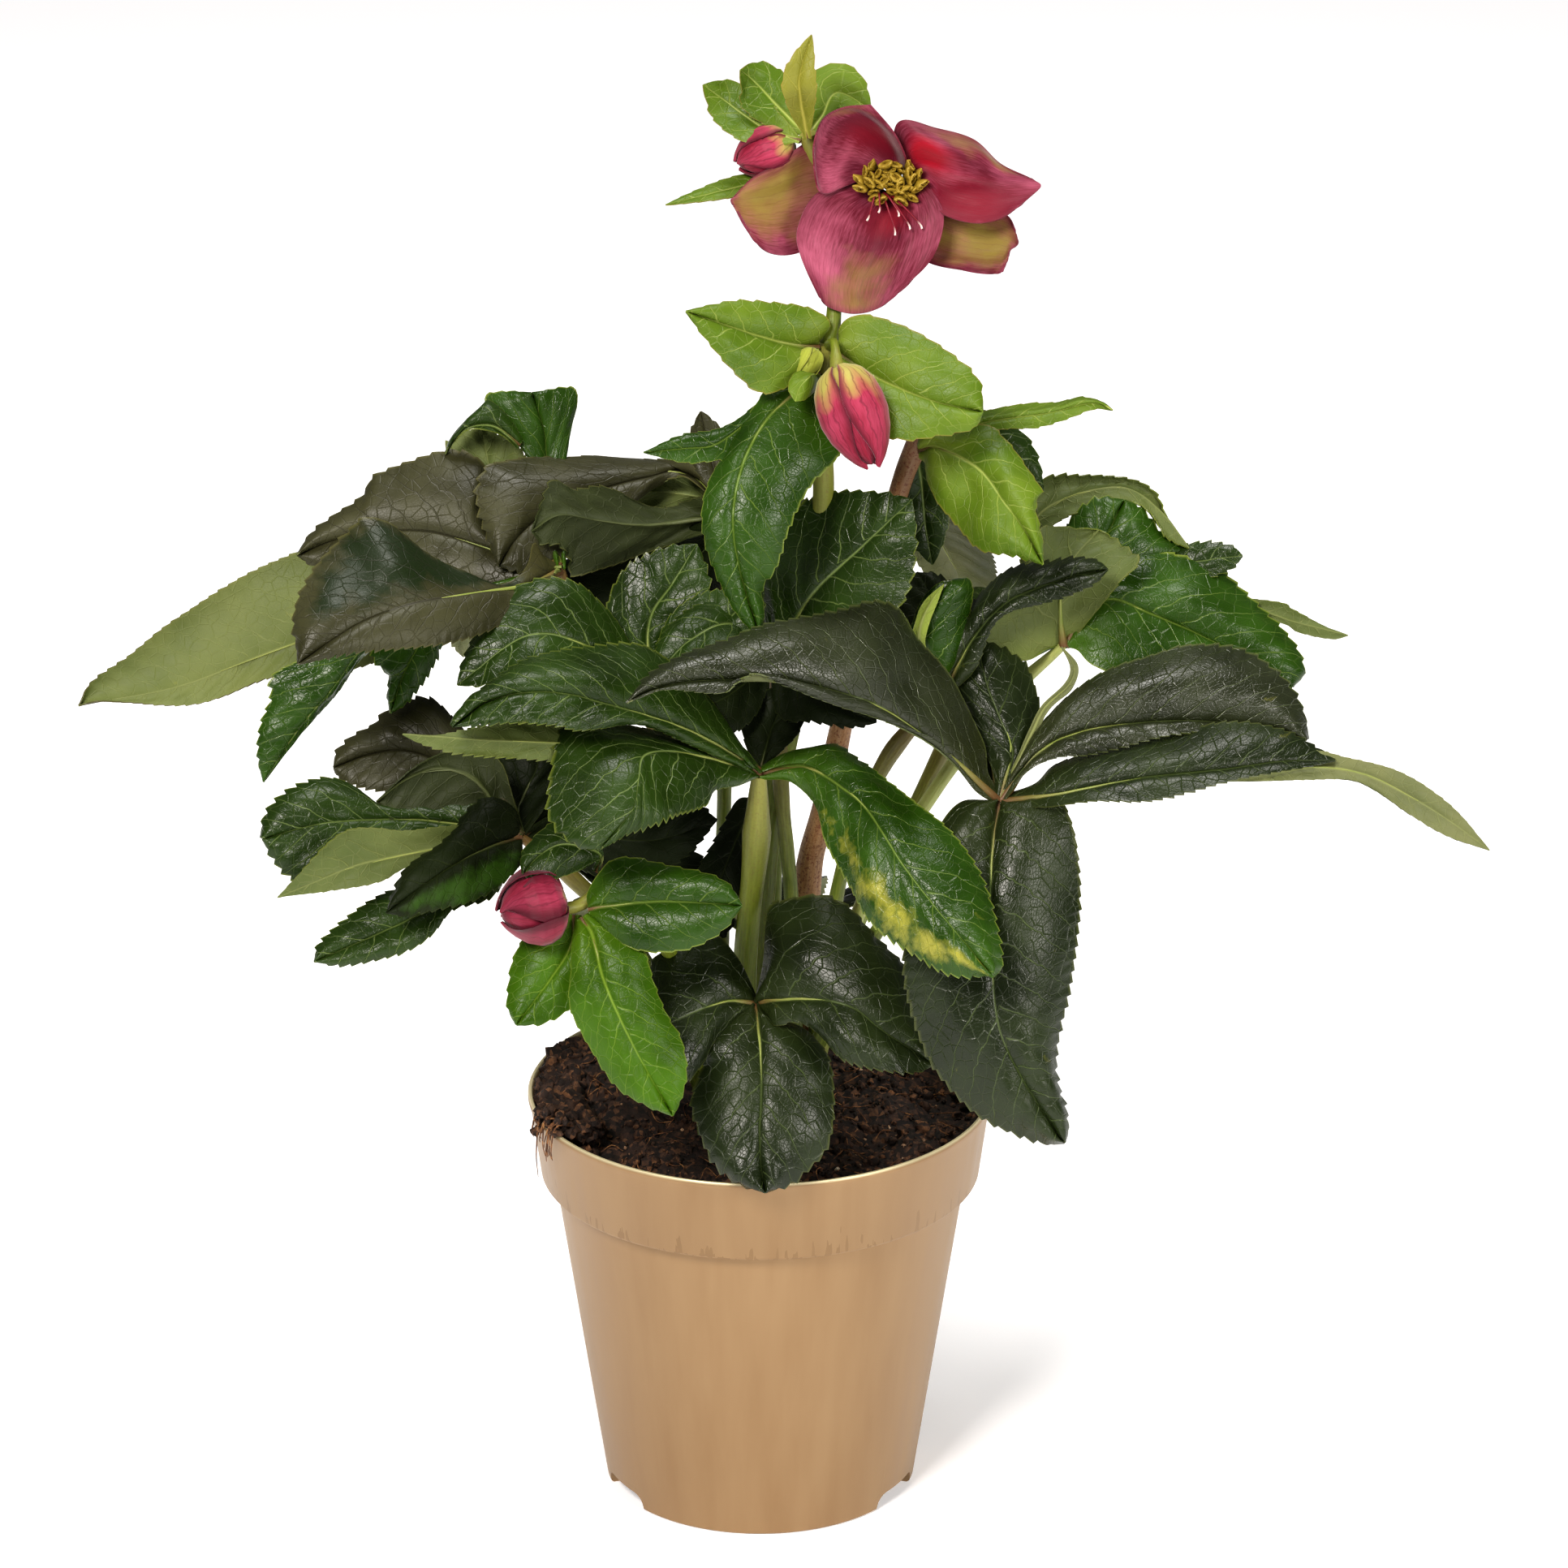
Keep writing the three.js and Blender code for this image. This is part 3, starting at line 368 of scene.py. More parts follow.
# how each kind of blade is toothed, ribbed and rippled, in mm, and bent, in degrees
bladeKinds = {
    "leaf": {"toothPitch": 3.0, "toothDepth": 0.8, "rowsPerTooth": 4, "halfColumns": 9, "thickness": 0.4,
             "veinGap": 9.0, "veinSlant": 0.85, "bulge": 0.6, "groove": 0.6, "ripple": 1.3, "curl": -17.95},
    "bract": {"toothPitch": 4.0, "toothDepth": 0.5, "rowsPerTooth": 4, "halfColumns": 8, "thickness": 0.35,
              "veinGap": 8.0, "veinSlant": 0.95, "bulge": 0.4, "groove": 0.4, "ripple": 1.1, "curl": -13.95},
}


# right, up and out of a plane that leans back
def leaningWays(degrees):
    tilt = math.radians(degrees)
    return np.array([(1, 0, 0), (0, math.sin(tilt), math.cos(tilt)), (0, -math.cos(tilt), math.sin(tilt))])


# the front leaves are drawn on a leaning sheet, x to the right and y down in units of 0.2238 mm, with the
# distance out of the sheet in mm; the sheet is seen from one point, so what is nearer is drawn larger
sheet = {"at": (6.7, 0, 209.6), "tilt": 22.0, "unit": 0.2238, "middle": 966, "eye": 2200}


def fromSheet(points):
    x, y, out = np.array(points, float).T
    scale = sheet["unit"] * (1 - out / sheet["eye"])
    places = np.stack([(x - sheet["middle"]) * scale, (sheet["middle"] - y) * scale, out], 1)
    return places @ leaningWays(sheet["tilt"]) + sheet["at"]


def toSheet(points):
    x, y, out = leaningWays(sheet["tilt"]) @ (np.array(points, float) - sheet["at"]).T
    scale = sheet["unit"] * (1 - out / sheet["eye"])
    return np.stack([x / scale + sheet["middle"], sheet["middle"] - y / scale, out], 1)


# a list of values at even stations along the blade, read at the shares u
def atStations(values, u):
    values = np.atleast_1d(values)
    return np.interp(u, np.linspace(0, 1, len(values)), values)


# a blade given by its line, width and face: the surface without its teeth and veins, and its half width
def widenedBlade(leaflet, kind, place, way, share, side, reach):
    across = unit(np.cross(np.array(leaflet["face"], float), way))
    up = np.cross(way, across)
    wideAt = math.log(0.5) / math.log(leaflet.get("wide", 0.5))
    swell = np.sin(math.pi * np.clip(share, 0, 1) ** wideAt).clip(0) ** 0.85
    half = np.maximum(swell * leaflet["width"] / 2, leaflet.get("neck", 1.1) * (1 - share))
    half = np.maximum(half, 0.12)
    # each half rises by the fold and bends by the curl
    fold = np.radians(atStations(leaflet["fold"], share))
    curl = math.radians(kind["curl"])
    out = (np.sin(fold + curl * reach) - np.sin(fold)) / curl
    rise = (np.cos(fold) - np.cos(fold + curl * reach)) / curl
    return place + across * (side * half * out)[:, None] + up * (half * rise)[:, None], half


# a blade drawn on the sheet by its two margins; back says how far out of the sheet each margin lies from
# the midrib, arch how far the halves belly out between
def drawnBlade(leaflet, place, way, u, side, reach):
    rib = toSheet(place)
    first, last = rib[np.argmin(u)], rib[np.argmax(u)]
    margins = [np.array([first[:2], *edge, last[:2]], float) for edge in leaflet["edges"]]
    x, y = np.vstack([margins[0], margins[1][::-1]]).T
    order = [1, 0] if np.sum(x * np.roll(y, -1) - np.roll(x, -1) * y) < 0 else [0, 1]
    outward = leaningWays(sheet["tilt"])[2]
    if leaflet.get("shows") == "under":
        order, outward = order[::-1], -outward
    surface, half = np.zeros_like(place), np.zeros(len(u))
    for number, own in zip(order, (side > 0, side <= 0)):
        edge, _ = onCurve(margins[number], evenShares(margins[number], u[own])[0])
        back = atStations(leaflet.get("back", (0, 0))[number], u[own])
        arch = atStations(leaflet.get("arch", (0, 0))[number], u[own])
        here, part = rib[own], reach[own]
        flat = here[:, :2] + (edge - here[:, :2]) * part[:, None]
        out = here[:, 2] + back * part + arch * 4 * part * (1 - part)
        surface[own] = fromSheet(np.column_stack([flat, out]))
        half[own] = np.linalg.norm(fromSheet(np.column_stack([edge, here[:, 2] + back])) - place[own], axis=1)
    least = 0.12 + leaflet.get("neck", 1.1) * (1 - u) ** 4
    surface += unit(np.cross(outward, way)) * (side * reach * least)[:, None]
    return surface, half + least


# a blade: a grid laid along its midrib, spread to its outline, toothed, ribbed and given a thickness, and
# the round keel of the midrib below it
def makeBlade(hub, leaflet, kindName, surfaces, keelSkin, seed):
    kind = bladeKinds[kindName]
    rng = np.random.default_rng(seed)
    if "rib" in leaflet:
        line = fromSheet([leaflet.get("from", toSheet([hub])[0]), *leaflet["rib"]])
    else:
        line = [hub, *leaflet["line"]]
    length = evenShares(line, np.array([1.0]))[1]
    teeth = max(5, round(length / kind["toothPitch"]))
    rows, columns = teeth * kind["rowsPerTooth"], 2 * kind["halfColumns"]
    blade, u, v = newGrid(rows, columns)
    row, column = np.round(u * rows).astype(int), np.round((v + 1) / 2 * columns).astype(int)
    side = np.sign(np.round(v, 5))
    reach = np.abs(v) ** 1.35  # columns stand closer near the midrib
    share, _ = evenShares(line, u)
    place, way = onCurve(line, share)
    if "rib" in leaflet:
        base, half = drawnBlade(leaflet, place, way, u, side, reach)
        share = u
    else:
        base, half = widenedBlade(leaflet, kind, place, way, share, side, reach)
    surface = np.zeros((rows + 1, columns + 1, 3))
    surface[row, column] = base
    normal = unit(np.cross(np.gradient(surface, axis=0), np.gradient(surface, axis=1)) + 1e-9)
    above = normal[row, column]
    # saw teeth that point at the tip
    tooth = row // kind["rowsPerTooth"]
    step = (row % kind["rowsPerTooth"]) / (kind["rowsPerTooth"] - 1)
    depths = rng.uniform(0.55, 1.35, (2, teeth + 2)) * kind["toothDepth"]
    depth = np.where(side > 0, depths[0][tooth], depths[1][tooth])
    toothed = np.clip((share - 0.13) / 0.12, 0, 1) * np.clip((0.985 - share) / 0.05, 0, 1)
    bite = depth * toothed * np.clip(half / 5, 0, 1) * reach ** 10 * leaflet.get("toothed", 1)
    away = base - place
    outward = away / np.maximum(np.linalg.norm(away, axis=1), 0.01)[:, None]
    points = base + outward * (bite * (step - 0.45))[:, None] + way * (bite * 0.9 * (step - 0.2))[:, None]
    # bulges between sunken side veins, the groove of the midrib, and the blade's own waves and dents
    acrossMm, alongMm = side * half * reach, u * length
    slanted = alongMm - kind["veinSlant"] * np.abs(acrossMm) * (1 + 0.3 * reach)
    slanted += kind["veinGap"] / 2 * (side > 0)
    vein = np.sin(math.pi * slanted / kind["veinGap"]) ** 2
    bulge = kind["bulge"] * vein * (4 * reach * (1 - reach)) ** 0.7 * np.clip(half / 8, 0, 1)
    bulge = bulge * leaflet.get("bulged", 1)
    groove = kind["groove"] * np.exp(-(acrossMm / 0.9) ** 2) * (1 - share) ** 0.4
    wave = ripples(rng, u * length / 40, v, 0.5, 1.6) * kind["ripple"] * reach ** 1.5
    wave = wave * leaflet.get("wavy", 1) * np.clip(half / 9, 0, 1)
    dent, patch = np.zeros(len(u)), np.zeros(len(u))
    for at, sideAt, size, height in leaflet.get("dents", ()):
        dent += height * spotOn(share, v, at, sideAt, size)
    for at, sideAt, size, strength in leaflet.get("patches", ()):
        patch = np.maximum(patch, strength * spotOn(share, v, at, sideAt, size))
    points += above * (bulge - groove + wave + dent)[:, None]
    dress(blade, points, surfaces, blade=[alongMm, acrossMm, share], veins=[slanted, reach, patch])
    applyModifier(blade, "SOLIDIFY", thickness=kind["thickness"] * mm, offset=0, material_offset=1,
                  material_offset_rim=0)
    stations = np.linspace(0, 0.72 * rows, 5).astype(int)
    keel = surface[stations, columns // 2] - normal[stations, columns // 2] * 0.6
    size = min(1.0, float(half.max()) / 15)
    keelRadii = [1.1 * size + 0.2, 0.65 * size, 0.45 * size, 0.3 * size, 0.1]
    return [blade, makeStalk(keel, keelRadii, keelSkin, seed, sides=8, pitch=4)]


# a round stalk: a grid rolled up along its line, closed at both ends
def makeStalk(line, radii, surface, seed, sides=14, pitch=2.5):
    rng = np.random.default_rng(seed)
    length = evenShares(line, np.array([1.0]))[1]
    rows = max(8, round(length / pitch))
    stalk, u, v = newGrid(rows, sides)
    share, _ = evenShares(line, np.linspace(0, 1, rows + 1))
    place, way = onCurve(line, share)
    normal = np.zeros_like(way)
    start = np.array([1.0, 0, 0]) if abs(way[0][0]) < 0.8 else np.array([0, 0, 1.0])
    for i in range(rows + 1):
        start = start - way[i] * (start @ way[i])
        start /= np.linalg.norm(start)
        normal[i] = start
    other = np.cross(way, normal)
    row = np.round(u * rows).astype(int)
    angle = math.pi * v
    bumpy = ripples(rng, u * length / 30, angle * 0 + 0.5, 0.5, 2.5) * 0.02
    ribbed = 0.025 * np.cos(5 * angle + 3 * u) + bumpy
    radius = atStations(radii, u) * (1 + ribbed)
    x, y = radius * np.cos(angle), radius * np.sin(angle)
    points = place[row] + normal[row] * x[:, None] + other[row] * y[:, None]
    dress(stalk, points, [surface], stalk=[u * length, x, y], share=u)
    closeMesh(0.02)
    return stalk


# where leaf stalks stand on the crown, and their radii from the foot to the hub
leafFoot = {"ring": 14.5, "height": 112, "radii": np.array([3.0, 2.4, 2.2, 2.0, 2.0, 2.5, 1.2])}


# a compound leaf: its stalk rises from the crown to a hub, where its leaflets spread; a bract has no stalk
def makeLeaf(name, node, leaf, seed):
    kind, parts = "bract", []
    if "stalk" in leaf:
        kind, turn = "leaf", math.radians(leaf["root"])
        foot = (leafFoot["ring"] * math.cos(turn), leafFoot["ring"] * math.sin(turn), leafFoot["height"])
        parts.append(makeStalk([foot, *leaf["stalk"], leaf["hub"]], leafFoot["radii"] * leaf.get("stout", 1),
                               stalkFinishes[leaf.get("stalkFinish", "petiole")], seed))
    for number, leaflet in enumerate(leaf["leaflets"]):
        surfaces = bladeFinishes[leaflet.get("finish", leaf["finish"])]
        # leaflets painted in shade get the keel painted in shade
        keel = stalkFinishes["shadedKeel" if leaflet.get("finish") == "deepAndShaded" else "keel"]
        parts += makeBlade(leaf["hub"], leaflet, kind, surfaces, keel, seed * 20 + number)
    finishPiece(name, parts, 60, leaf["slot"], node)


leafFrontLow = {
    "finish": "dark", "slot": "dark_leaf", "root": -90, "stalk": [(-1, -30, 149)], "hub": (-1, -42, 162),
    "leaflets": [
    {"rib": [(900, 1233, 26), (860, 1245, 31), (815, 1268, 34), (785, 1300, 33)],
     "edges": [[(922, 1215), (905, 1180), (880, 1152), (850, 1160), (810, 1180), (785, 1230), (775, 1270)],
     [(915, 1250), (880, 1285), (868, 1307), (843, 1335), (815, 1330)]],
     "back": ([-2, -8, -12, -8], [0, 1, 2, 2]), "arch": (1, 1.5)},
    {"rib": [(960, 1232, 28), (1013, 1232, 34), (1053, 1243, 37), (1083, 1267, 37), (1113, 1287, 36),
     (1150, 1312, 35)],
     "edges": [[(938, 1187), (940, 1150), (947, 1117), (980, 1107), (1013, 1103), (1047, 1117), (1077, 1147),
     (1100, 1170), (1120, 1193), (1133, 1247)],
     [(947, 1247), (957, 1260), (980, 1257), (1000, 1270), (1020, 1293), (1040, 1307), (1083, 1318),
     (1127, 1320)]],
     "back": ([-4, -14, -16, -12, -4], [0, 2, 3, 1]), "arch": (3, 1), "dents": [(0.35, 0.5, 0.1, 1.6)]},
    {"rib": [(933, 1253, 25), (937, 1297, 30), (938, 1347, 34), (936, 1397, 36), (938, 1440, 36),
     (943, 1470, 36)],
     "edges": [[(910, 1247), (860, 1277), (858, 1297), (870, 1310), (860, 1337), (855, 1363), (867, 1400),
     (883, 1433), (913, 1457)],
     [(943, 1253), (987, 1263), (1013, 1287), (1023, 1313), (1023, 1363), (1017, 1407), (1000, 1433),
     (973, 1460)]], "back": ([-2, -5, -6, -4, 0], [-2, -5, -7, -5, 0]), "arch": (2.5, 2.5)}]}
makeLeaf("leafFrontLow", "leaf_front_low", leafFrontLow, 1)

leafCenter = {
    "finish": "mid", "slot": "green_leaf", "root": -112, "stout": 1.6, "stalkFinish": "green",
    "stalk": [(-4, -20, 165), (-1, -33, 203)], "hub": (0, -41, 229), "leaflets": [
    {"finish": "bright", "rib": [(975, 943, 48), (1000, 947, 51), (1030, 965, 56), (1062, 990, 61),
     (1085, 1022, 66), (1112, 1065, 70), (1150, 1115, 74), (1190, 1163, 78), (1224, 1204, 80)],
     "edges": [[(968, 936), (1000, 926), (1030, 918), (1060, 935), (1085, 952), (1130, 993), (1168, 1028),
     (1203, 1070), (1222, 1110), (1233, 1155), (1235, 1190)],
     [(972, 957), (1000, 985), (1014, 1010), (1022, 1040), (1035, 1078), (1052, 1105), (1073, 1130),
     (1112, 1167), (1150, 1190), (1190, 1203)]],
     "back": ([-2, -9, -10, -9, -4], [0, -2, -4, -5, -2]), "arch": (2.5, 2),
     "patches": [(0.3, -0.8, 0.09, 0.5), (0.42, -0.75, 0.1, 0.65), (0.54, -0.72, 0.11, 0.75),
     (0.66, -0.72, 0.12, 0.85), (0.78, -0.7, 0.12, 0.95), (0.89, -0.55, 0.09, 1.0),
     (0.96, -0.1, 0.06, 0.9)]},
    {"rib": [(915, 945, 52), (880, 935, 58), (830, 925, 66), (795, 930, 73), (788, 955, 79), (783, 993, 83),
     (764, 1018, 85), (740, 1046, 85)],
     "edges": [[(905, 925), (860, 917), (805, 903), (740, 897), (693, 902), (682, 940), (674, 985),
     (680, 1015), (712, 1042)], [(912, 965), (885, 972), (872, 992), (822, 1007), (775, 1026)]],
     "back": ([-2, -6, -7, -4, 0], [2, 2, 0, -2, 0]), "arch": (2, 1)},
    {"rib": [(905, 930, 55), (850, 900, 64), (800, 882, 71), (750, 868, 77), (700, 855, 81), (650, 853, 84),
     (600, 865, 86), (557, 895, 86)],
     "edges": [[(918, 930), (884, 888), (850, 850), (822, 824), (784, 797), (728, 793), (680, 798),
     (640, 812), (605, 840), (570, 872)],
     [(919, 944), (861, 921), (805, 898), (775, 894), (716, 900), (681, 893), (628, 890), (590, 893)]],
     "back": ([-4, -14, -18, -14, -4], [1, 4, 4, 3, 1]), "arch": (5, 1), "dents": [(0.55, -0.45, 0.1, 1.5)]},
    # a dark leaflet in painted shade behind the others
    {"finish": "deepAndShaded", "rib": [(950, 900, 38), (972, 850, 34)],
     "edges": [[(925, 930), (915, 890), (935, 855)], [(950, 935), (985, 900), (990, 860)]]},
    {"shows": "under", "rib": [(780, 925, 66), (680, 916, 72), (590, 912, 76), (496, 905, 78)],
     "edges": [[(780, 905), (688, 893), (644, 886), (589, 896), (534, 908)],
     [(780, 940), (685, 937), (575, 930), (527, 919)]], "back": ([0, -2, -2, 0], [0, 1, 1, 0])}]}
makeLeaf("leafCenter", "leaf_center", leafCenter, 2)

leafRightFront = {
    "finish": "dark", "slot": "dark_leaf", "root": -69, "stalk": [(28, -24, 168), (47, -36, 202)],
    "hub": (65, -45, 223), "leaflets": [
    {"finish": "ash", "rib": [(1205, 965, 52), (1170, 930, 60), (1130, 900, 68), (1085, 871, 76),
     (1040, 855, 84), (985, 841, 89), (920, 838, 94), (850, 840, 97), (800, 852, 99), (772, 866, 99)],
     "edges": [[(1210, 955), (1208, 920), (1195, 880), (1175, 845), (1150, 815), (1128, 790), (1108, 755),
     (1080, 744), (1040, 755), (985, 765), (938, 773), (895, 787), (850, 802), (800, 827), (783, 846)],
     [(1205, 972), (1180, 942), (1150, 917), (1120, 900), (1070, 881), (1010, 861), (975, 843), (935, 829),
     (905, 840), (885, 850), (820, 850), (792, 858)]],
     "back": ([-2, -14, -20, -18, -14, -8, -2], [0, 3, 4, 5, 5, 3, 1]), "arch": ([0, 4, 6, 5, 2], 0.5),
     "bulged": 0.4, "dents": [(0.33, -0.55, 0.06, -2.2), (0.45, -0.5, 0.06, 1.5), (0.62, -0.6, 0.06, 1.4),
     (0.22, 0.6, 0.06, 1.5)]},
    {"finish": "ash", "rib": [(1255, 952, 48), (1290, 919, 47), (1330, 902, 46), (1380, 893, 44),
     (1447, 888, 41), (1510, 890, 38), (1570, 896, 36), (1610, 912, 35)],
     "edges": [[(1262, 925), (1290, 885), (1328, 850), (1370, 824), (1415, 806), (1455, 791), (1500, 790),
     (1540, 803), (1578, 838), (1600, 880)],
     [(1262, 950), (1300, 932), (1340, 927), (1380, 918), (1430, 908), (1500, 903), (1560, 905)]],
     "back": ([-2, -10, -13, -12, -3], [1, 4, 5, 4, 1]), "arch": ([0, 4, 5, 5, 2], 0.5),
     "dents": [(0.5, 0.6, 0.09, 1.6), (0.62, -0.5, 0.07, 1.2)]},
    {"rib": [(1262, 984, 50), (1303, 978, 54), (1367, 965, 56), (1413, 957, 56), (1463, 952, 55),
     (1513, 947, 53), (1580, 938, 50), (1645, 937, 47)],
     "edges": [[(1275, 970), (1300, 945), (1350, 926), (1400, 914), (1457, 903), (1497, 893), (1540, 893),
     (1585, 904), (1620, 922)],
     [(1290, 992), (1347, 986), (1413, 986), (1463, 976), (1513, 963), (1580, 950), (1620, 943)]],
     "back": ([-2, -12, -15, -12, -8, -2], [1, 5, 5, 3, 1]), "arch": ([0, 4, 4, 2, 0], 0.5), "wavy": 0.4,
     "bulged": 0.4},
    {"shows": "under", "from": (1490, 958, 53), "rib": [(1560, 953, 51), (1620, 946, 48), (1680, 955, 45),
     (1740, 984, 43), (1790, 1015, 41), (1835, 1048, 40)],
     "edges": [[(1560, 944), (1613, 926), (1660, 936), (1721, 951), (1767, 979), (1806, 1013)],
     [(1552, 960), (1606, 960), (1660, 960), (1692, 972), (1737, 1003), (1783, 1030)]],
     "back": ([0, -2, -3, 0], [0, 1, 1, 0]), "toothed": 0.3},
    {"rib": [(1227, 1012, 50), (1222, 1060, 54), (1221, 1113, 57), (1223, 1200, 58), (1232, 1270, 57),
     (1260, 1330, 53), (1300, 1393, 47), (1312, 1408, 45)],
     "edges": [[(1245, 985), (1293, 968), (1306, 987), (1323, 1037), (1331, 1098), (1328, 1150),
     (1317, 1213), (1307, 1267), (1307, 1313), (1315, 1363), (1315, 1393)],
     [(1190, 988), (1160, 1024), (1140, 1080), (1120, 1140), (1117, 1193), (1125, 1240), (1140, 1285),
     (1153, 1310), (1177, 1340), (1210, 1373), (1250, 1396), (1290, 1408)]],
     "back": ([-1, -5, -8, -8, -4, 0], [-1, -4, -8, -10, -8, -2]), "arch": (3, 3),
     "dents": [(0.62, -0.55, 0.07, 1.6), (0.72, 0.4, 0.06, 1.4), (0.8, -0.4, 0.06, 1.2)]},
    {"rib": [(1240, 955, 46), (1248, 925, 44), (1232, 885, 41), (1215, 840, 37), (1205, 787, 33)],
     "edges": [[(1252, 960), (1268, 925), (1281, 890), (1275, 850), (1262, 818), (1235, 800)],
     [(1225, 945), (1192, 885), (1165, 820), (1180, 785)]],
     "back": ([0, -4, -8, -8, 0], [0, -4, -8, -8, 0]), "arch": (1, 1)},
    {"shows": "under", "rib": [(1266, 915, 44), (1288, 872, 40), (1316, 846, 37), (1324, 822, 35),
     (1308, 797, 33)], "edges": [[(1264, 910), (1284, 870), (1311, 844), (1319, 823)],
     [(1270, 917), (1292, 875), (1320, 849), (1328, 821)]], "toothed": 0, "neck": 0.2, "wavy": 0},
    # a dark leaflet in painted shade behind the others
    {"finish": "deepAndShaded", "rib": [(1200, 870, 26), (1170, 800, 22), (1150, 740, 18), (1130, 705, 16)],
     "edges": [[(1190, 880), (1140, 850), (1105, 790), (1098, 735)],
     [(1215, 850), (1205, 790), (1190, 740), (1160, 710)]], "back": ([0, -3, -3, 0], [0, -3, -3, 0])}]}
makeLeaf("leafRightFront", "leaf_right_front", leafRightFront, 3)

leafRightUpper = {
    "finish": "mid", "slot": "green_leaf", "stalkFinish": "pale", "root": 28, "stalk": [(28, 4, 171),
    (46, 0, 204), (65, -4, 234)], "hub": (83, -6, 253), "leaflets": [
    {"finish": "bright", "rib": [(1338, 757, 22), (1370, 738, 21), (1420, 757, 20), (1480, 783, 19),
     (1540, 815, 18), (1592, 847, 17)],
     "edges": [[(1328, 745), (1368, 702), (1405, 685), (1447, 690), (1500, 702), (1546, 740), (1590, 790),
     (1605, 828)], [(1325, 800), (1350, 820), (1400, 840), (1460, 850), (1530, 862), (1570, 858)]],
     "back": ([-2, -8, -10, -8, -3], [0, 3, 3, 2, 0]), "arch": ([0, 2, 5, 4, 1], 1),
     "dents": [(0.55, 0.55, 0.09, 1.6), (0.3, 0.5, 0.07, -1.6)]},
    {"shows": "under", "rib": [(1290, 740, 14), (1276, 690, 10), (1278, 640, 8), (1325, 612, 8),
     (1385, 603, 9), (1428, 630, 10), (1465, 676, 11)],
     "edges": [[(1280, 740), (1263, 690), (1262, 630), (1285, 592), (1335, 589), (1390, 592), (1422, 606),
     (1440, 640)],
     [(1300, 740), (1292, 700), (1292, 655), (1320, 633), (1380, 618), (1412, 630), (1436, 662)]],
     "back": ([0, -2, -4, -3, 0], [0, 3, 5, 3, 0]), "arch": (-2, 0)},
    {"finish": "bright", "rib": [(1328, 745, 17), (1346, 695, 15), (1366, 655, 14), (1385, 616, 13)],
     "edges": [[(1300, 740), (1312, 690), (1322, 645), (1352, 619)],
     [(1360, 735), (1400, 705), (1440, 690), (1463, 676), (1430, 652), (1408, 626)]],
     "back": ([-1, -4, -4, 0], [-1, -4, -5, 0]), "arch": (2, 2)},
    {"shows": "under", "rib": [(1305, 752, 26), (1315, 700, 26), (1354, 653, 22)],
     "edges": [[(1300, 800), (1255, 815), (1205, 784), (1240, 740), (1262, 700), (1280, 652), (1320, 650)],
     [(1320, 785), (1345, 757), (1380, 717), (1403, 690), (1375, 668)]],
     "back": ([0, 5, 4, 0], [0, 2, 2, 0]), "arch": (-1, -1)},
    {"rib": [(1440, 705, 12), (1490, 690, 12), (1531, 685, 12)],
     "edges": [[(1400, 710), (1455, 675), (1487, 668), (1517, 673)],
     [(1440, 725), (1490, 712), (1518, 700)]], "back": ([0, -4, 0], [0, 2, 0])},
    {"shows": "under", "rib": [(1400, 765, 10), (1520, 748, 8), (1600, 768, 8), (1661, 783, 8)],
     "edges": [[(1400, 755), (1500, 737), (1575, 743), (1593, 752), (1632, 772)],
     [(1400, 775), (1520, 758), (1580, 768), (1600, 779), (1640, 787)]], "toothed": 0.3}]}
makeLeaf("leafRightUpper", "leaf_right_upper", leafRightUpper, 4)

leafRolled = {
    "finish": "mid", "slot": "green_leaf", "root": -30, "stalk": [(22, -9, 184), (34, -14, 221)],
    "hub": (51, -22, 246), "leaflets": [
    {"finish": "bright", "rib": [(1142, 820, 38), (1134, 790, 41), (1144, 750, 43), (1172, 716, 43)],
     "edges": [[(1140, 830), (1124, 795), (1130, 765), (1143, 735), (1160, 718)],
     [(1165, 832), (1184, 795), (1195, 760), (1197, 735), (1192, 718)]],
     "back": ([0, -3, -4, 0], [0, -3, -5, -2]), "arch": (0, 3), "toothed": 0.3},
    {"finish": "bract", "shows": "under", "from": (1142, 806, 44), "rib": [(1132, 788, 45), (1136, 765, 46),
     (1147, 742, 46), (1163, 720, 45)], "edges": [[(1125, 789), (1129, 764), (1139, 741)],
     [(1139, 790), (1145, 767), (1154, 744)]], "neck": 0.2, "toothed": 0, "wavy": 0},
    {"finish": "dark", "rib": [(1185, 810, 38), (1207, 775, 40), (1240, 742, 41), (1285, 722, 41),
     (1330, 708, 40), (1365, 702, 39)],
     "edges": [[(1168, 810), (1180, 765), (1215, 725), (1250, 697), (1297, 686), (1330, 687), (1353, 693)],
     [(1200, 820), (1222, 772), (1245, 754), (1295, 742), (1340, 722)]],
     "back": ([-1, -5, -7, -6, 0], [1, 2, 2, 0]), "arch": (2, 1)}]}
makeLeaf("leafRolled", "leaf_rolled", leafRolled, 5)

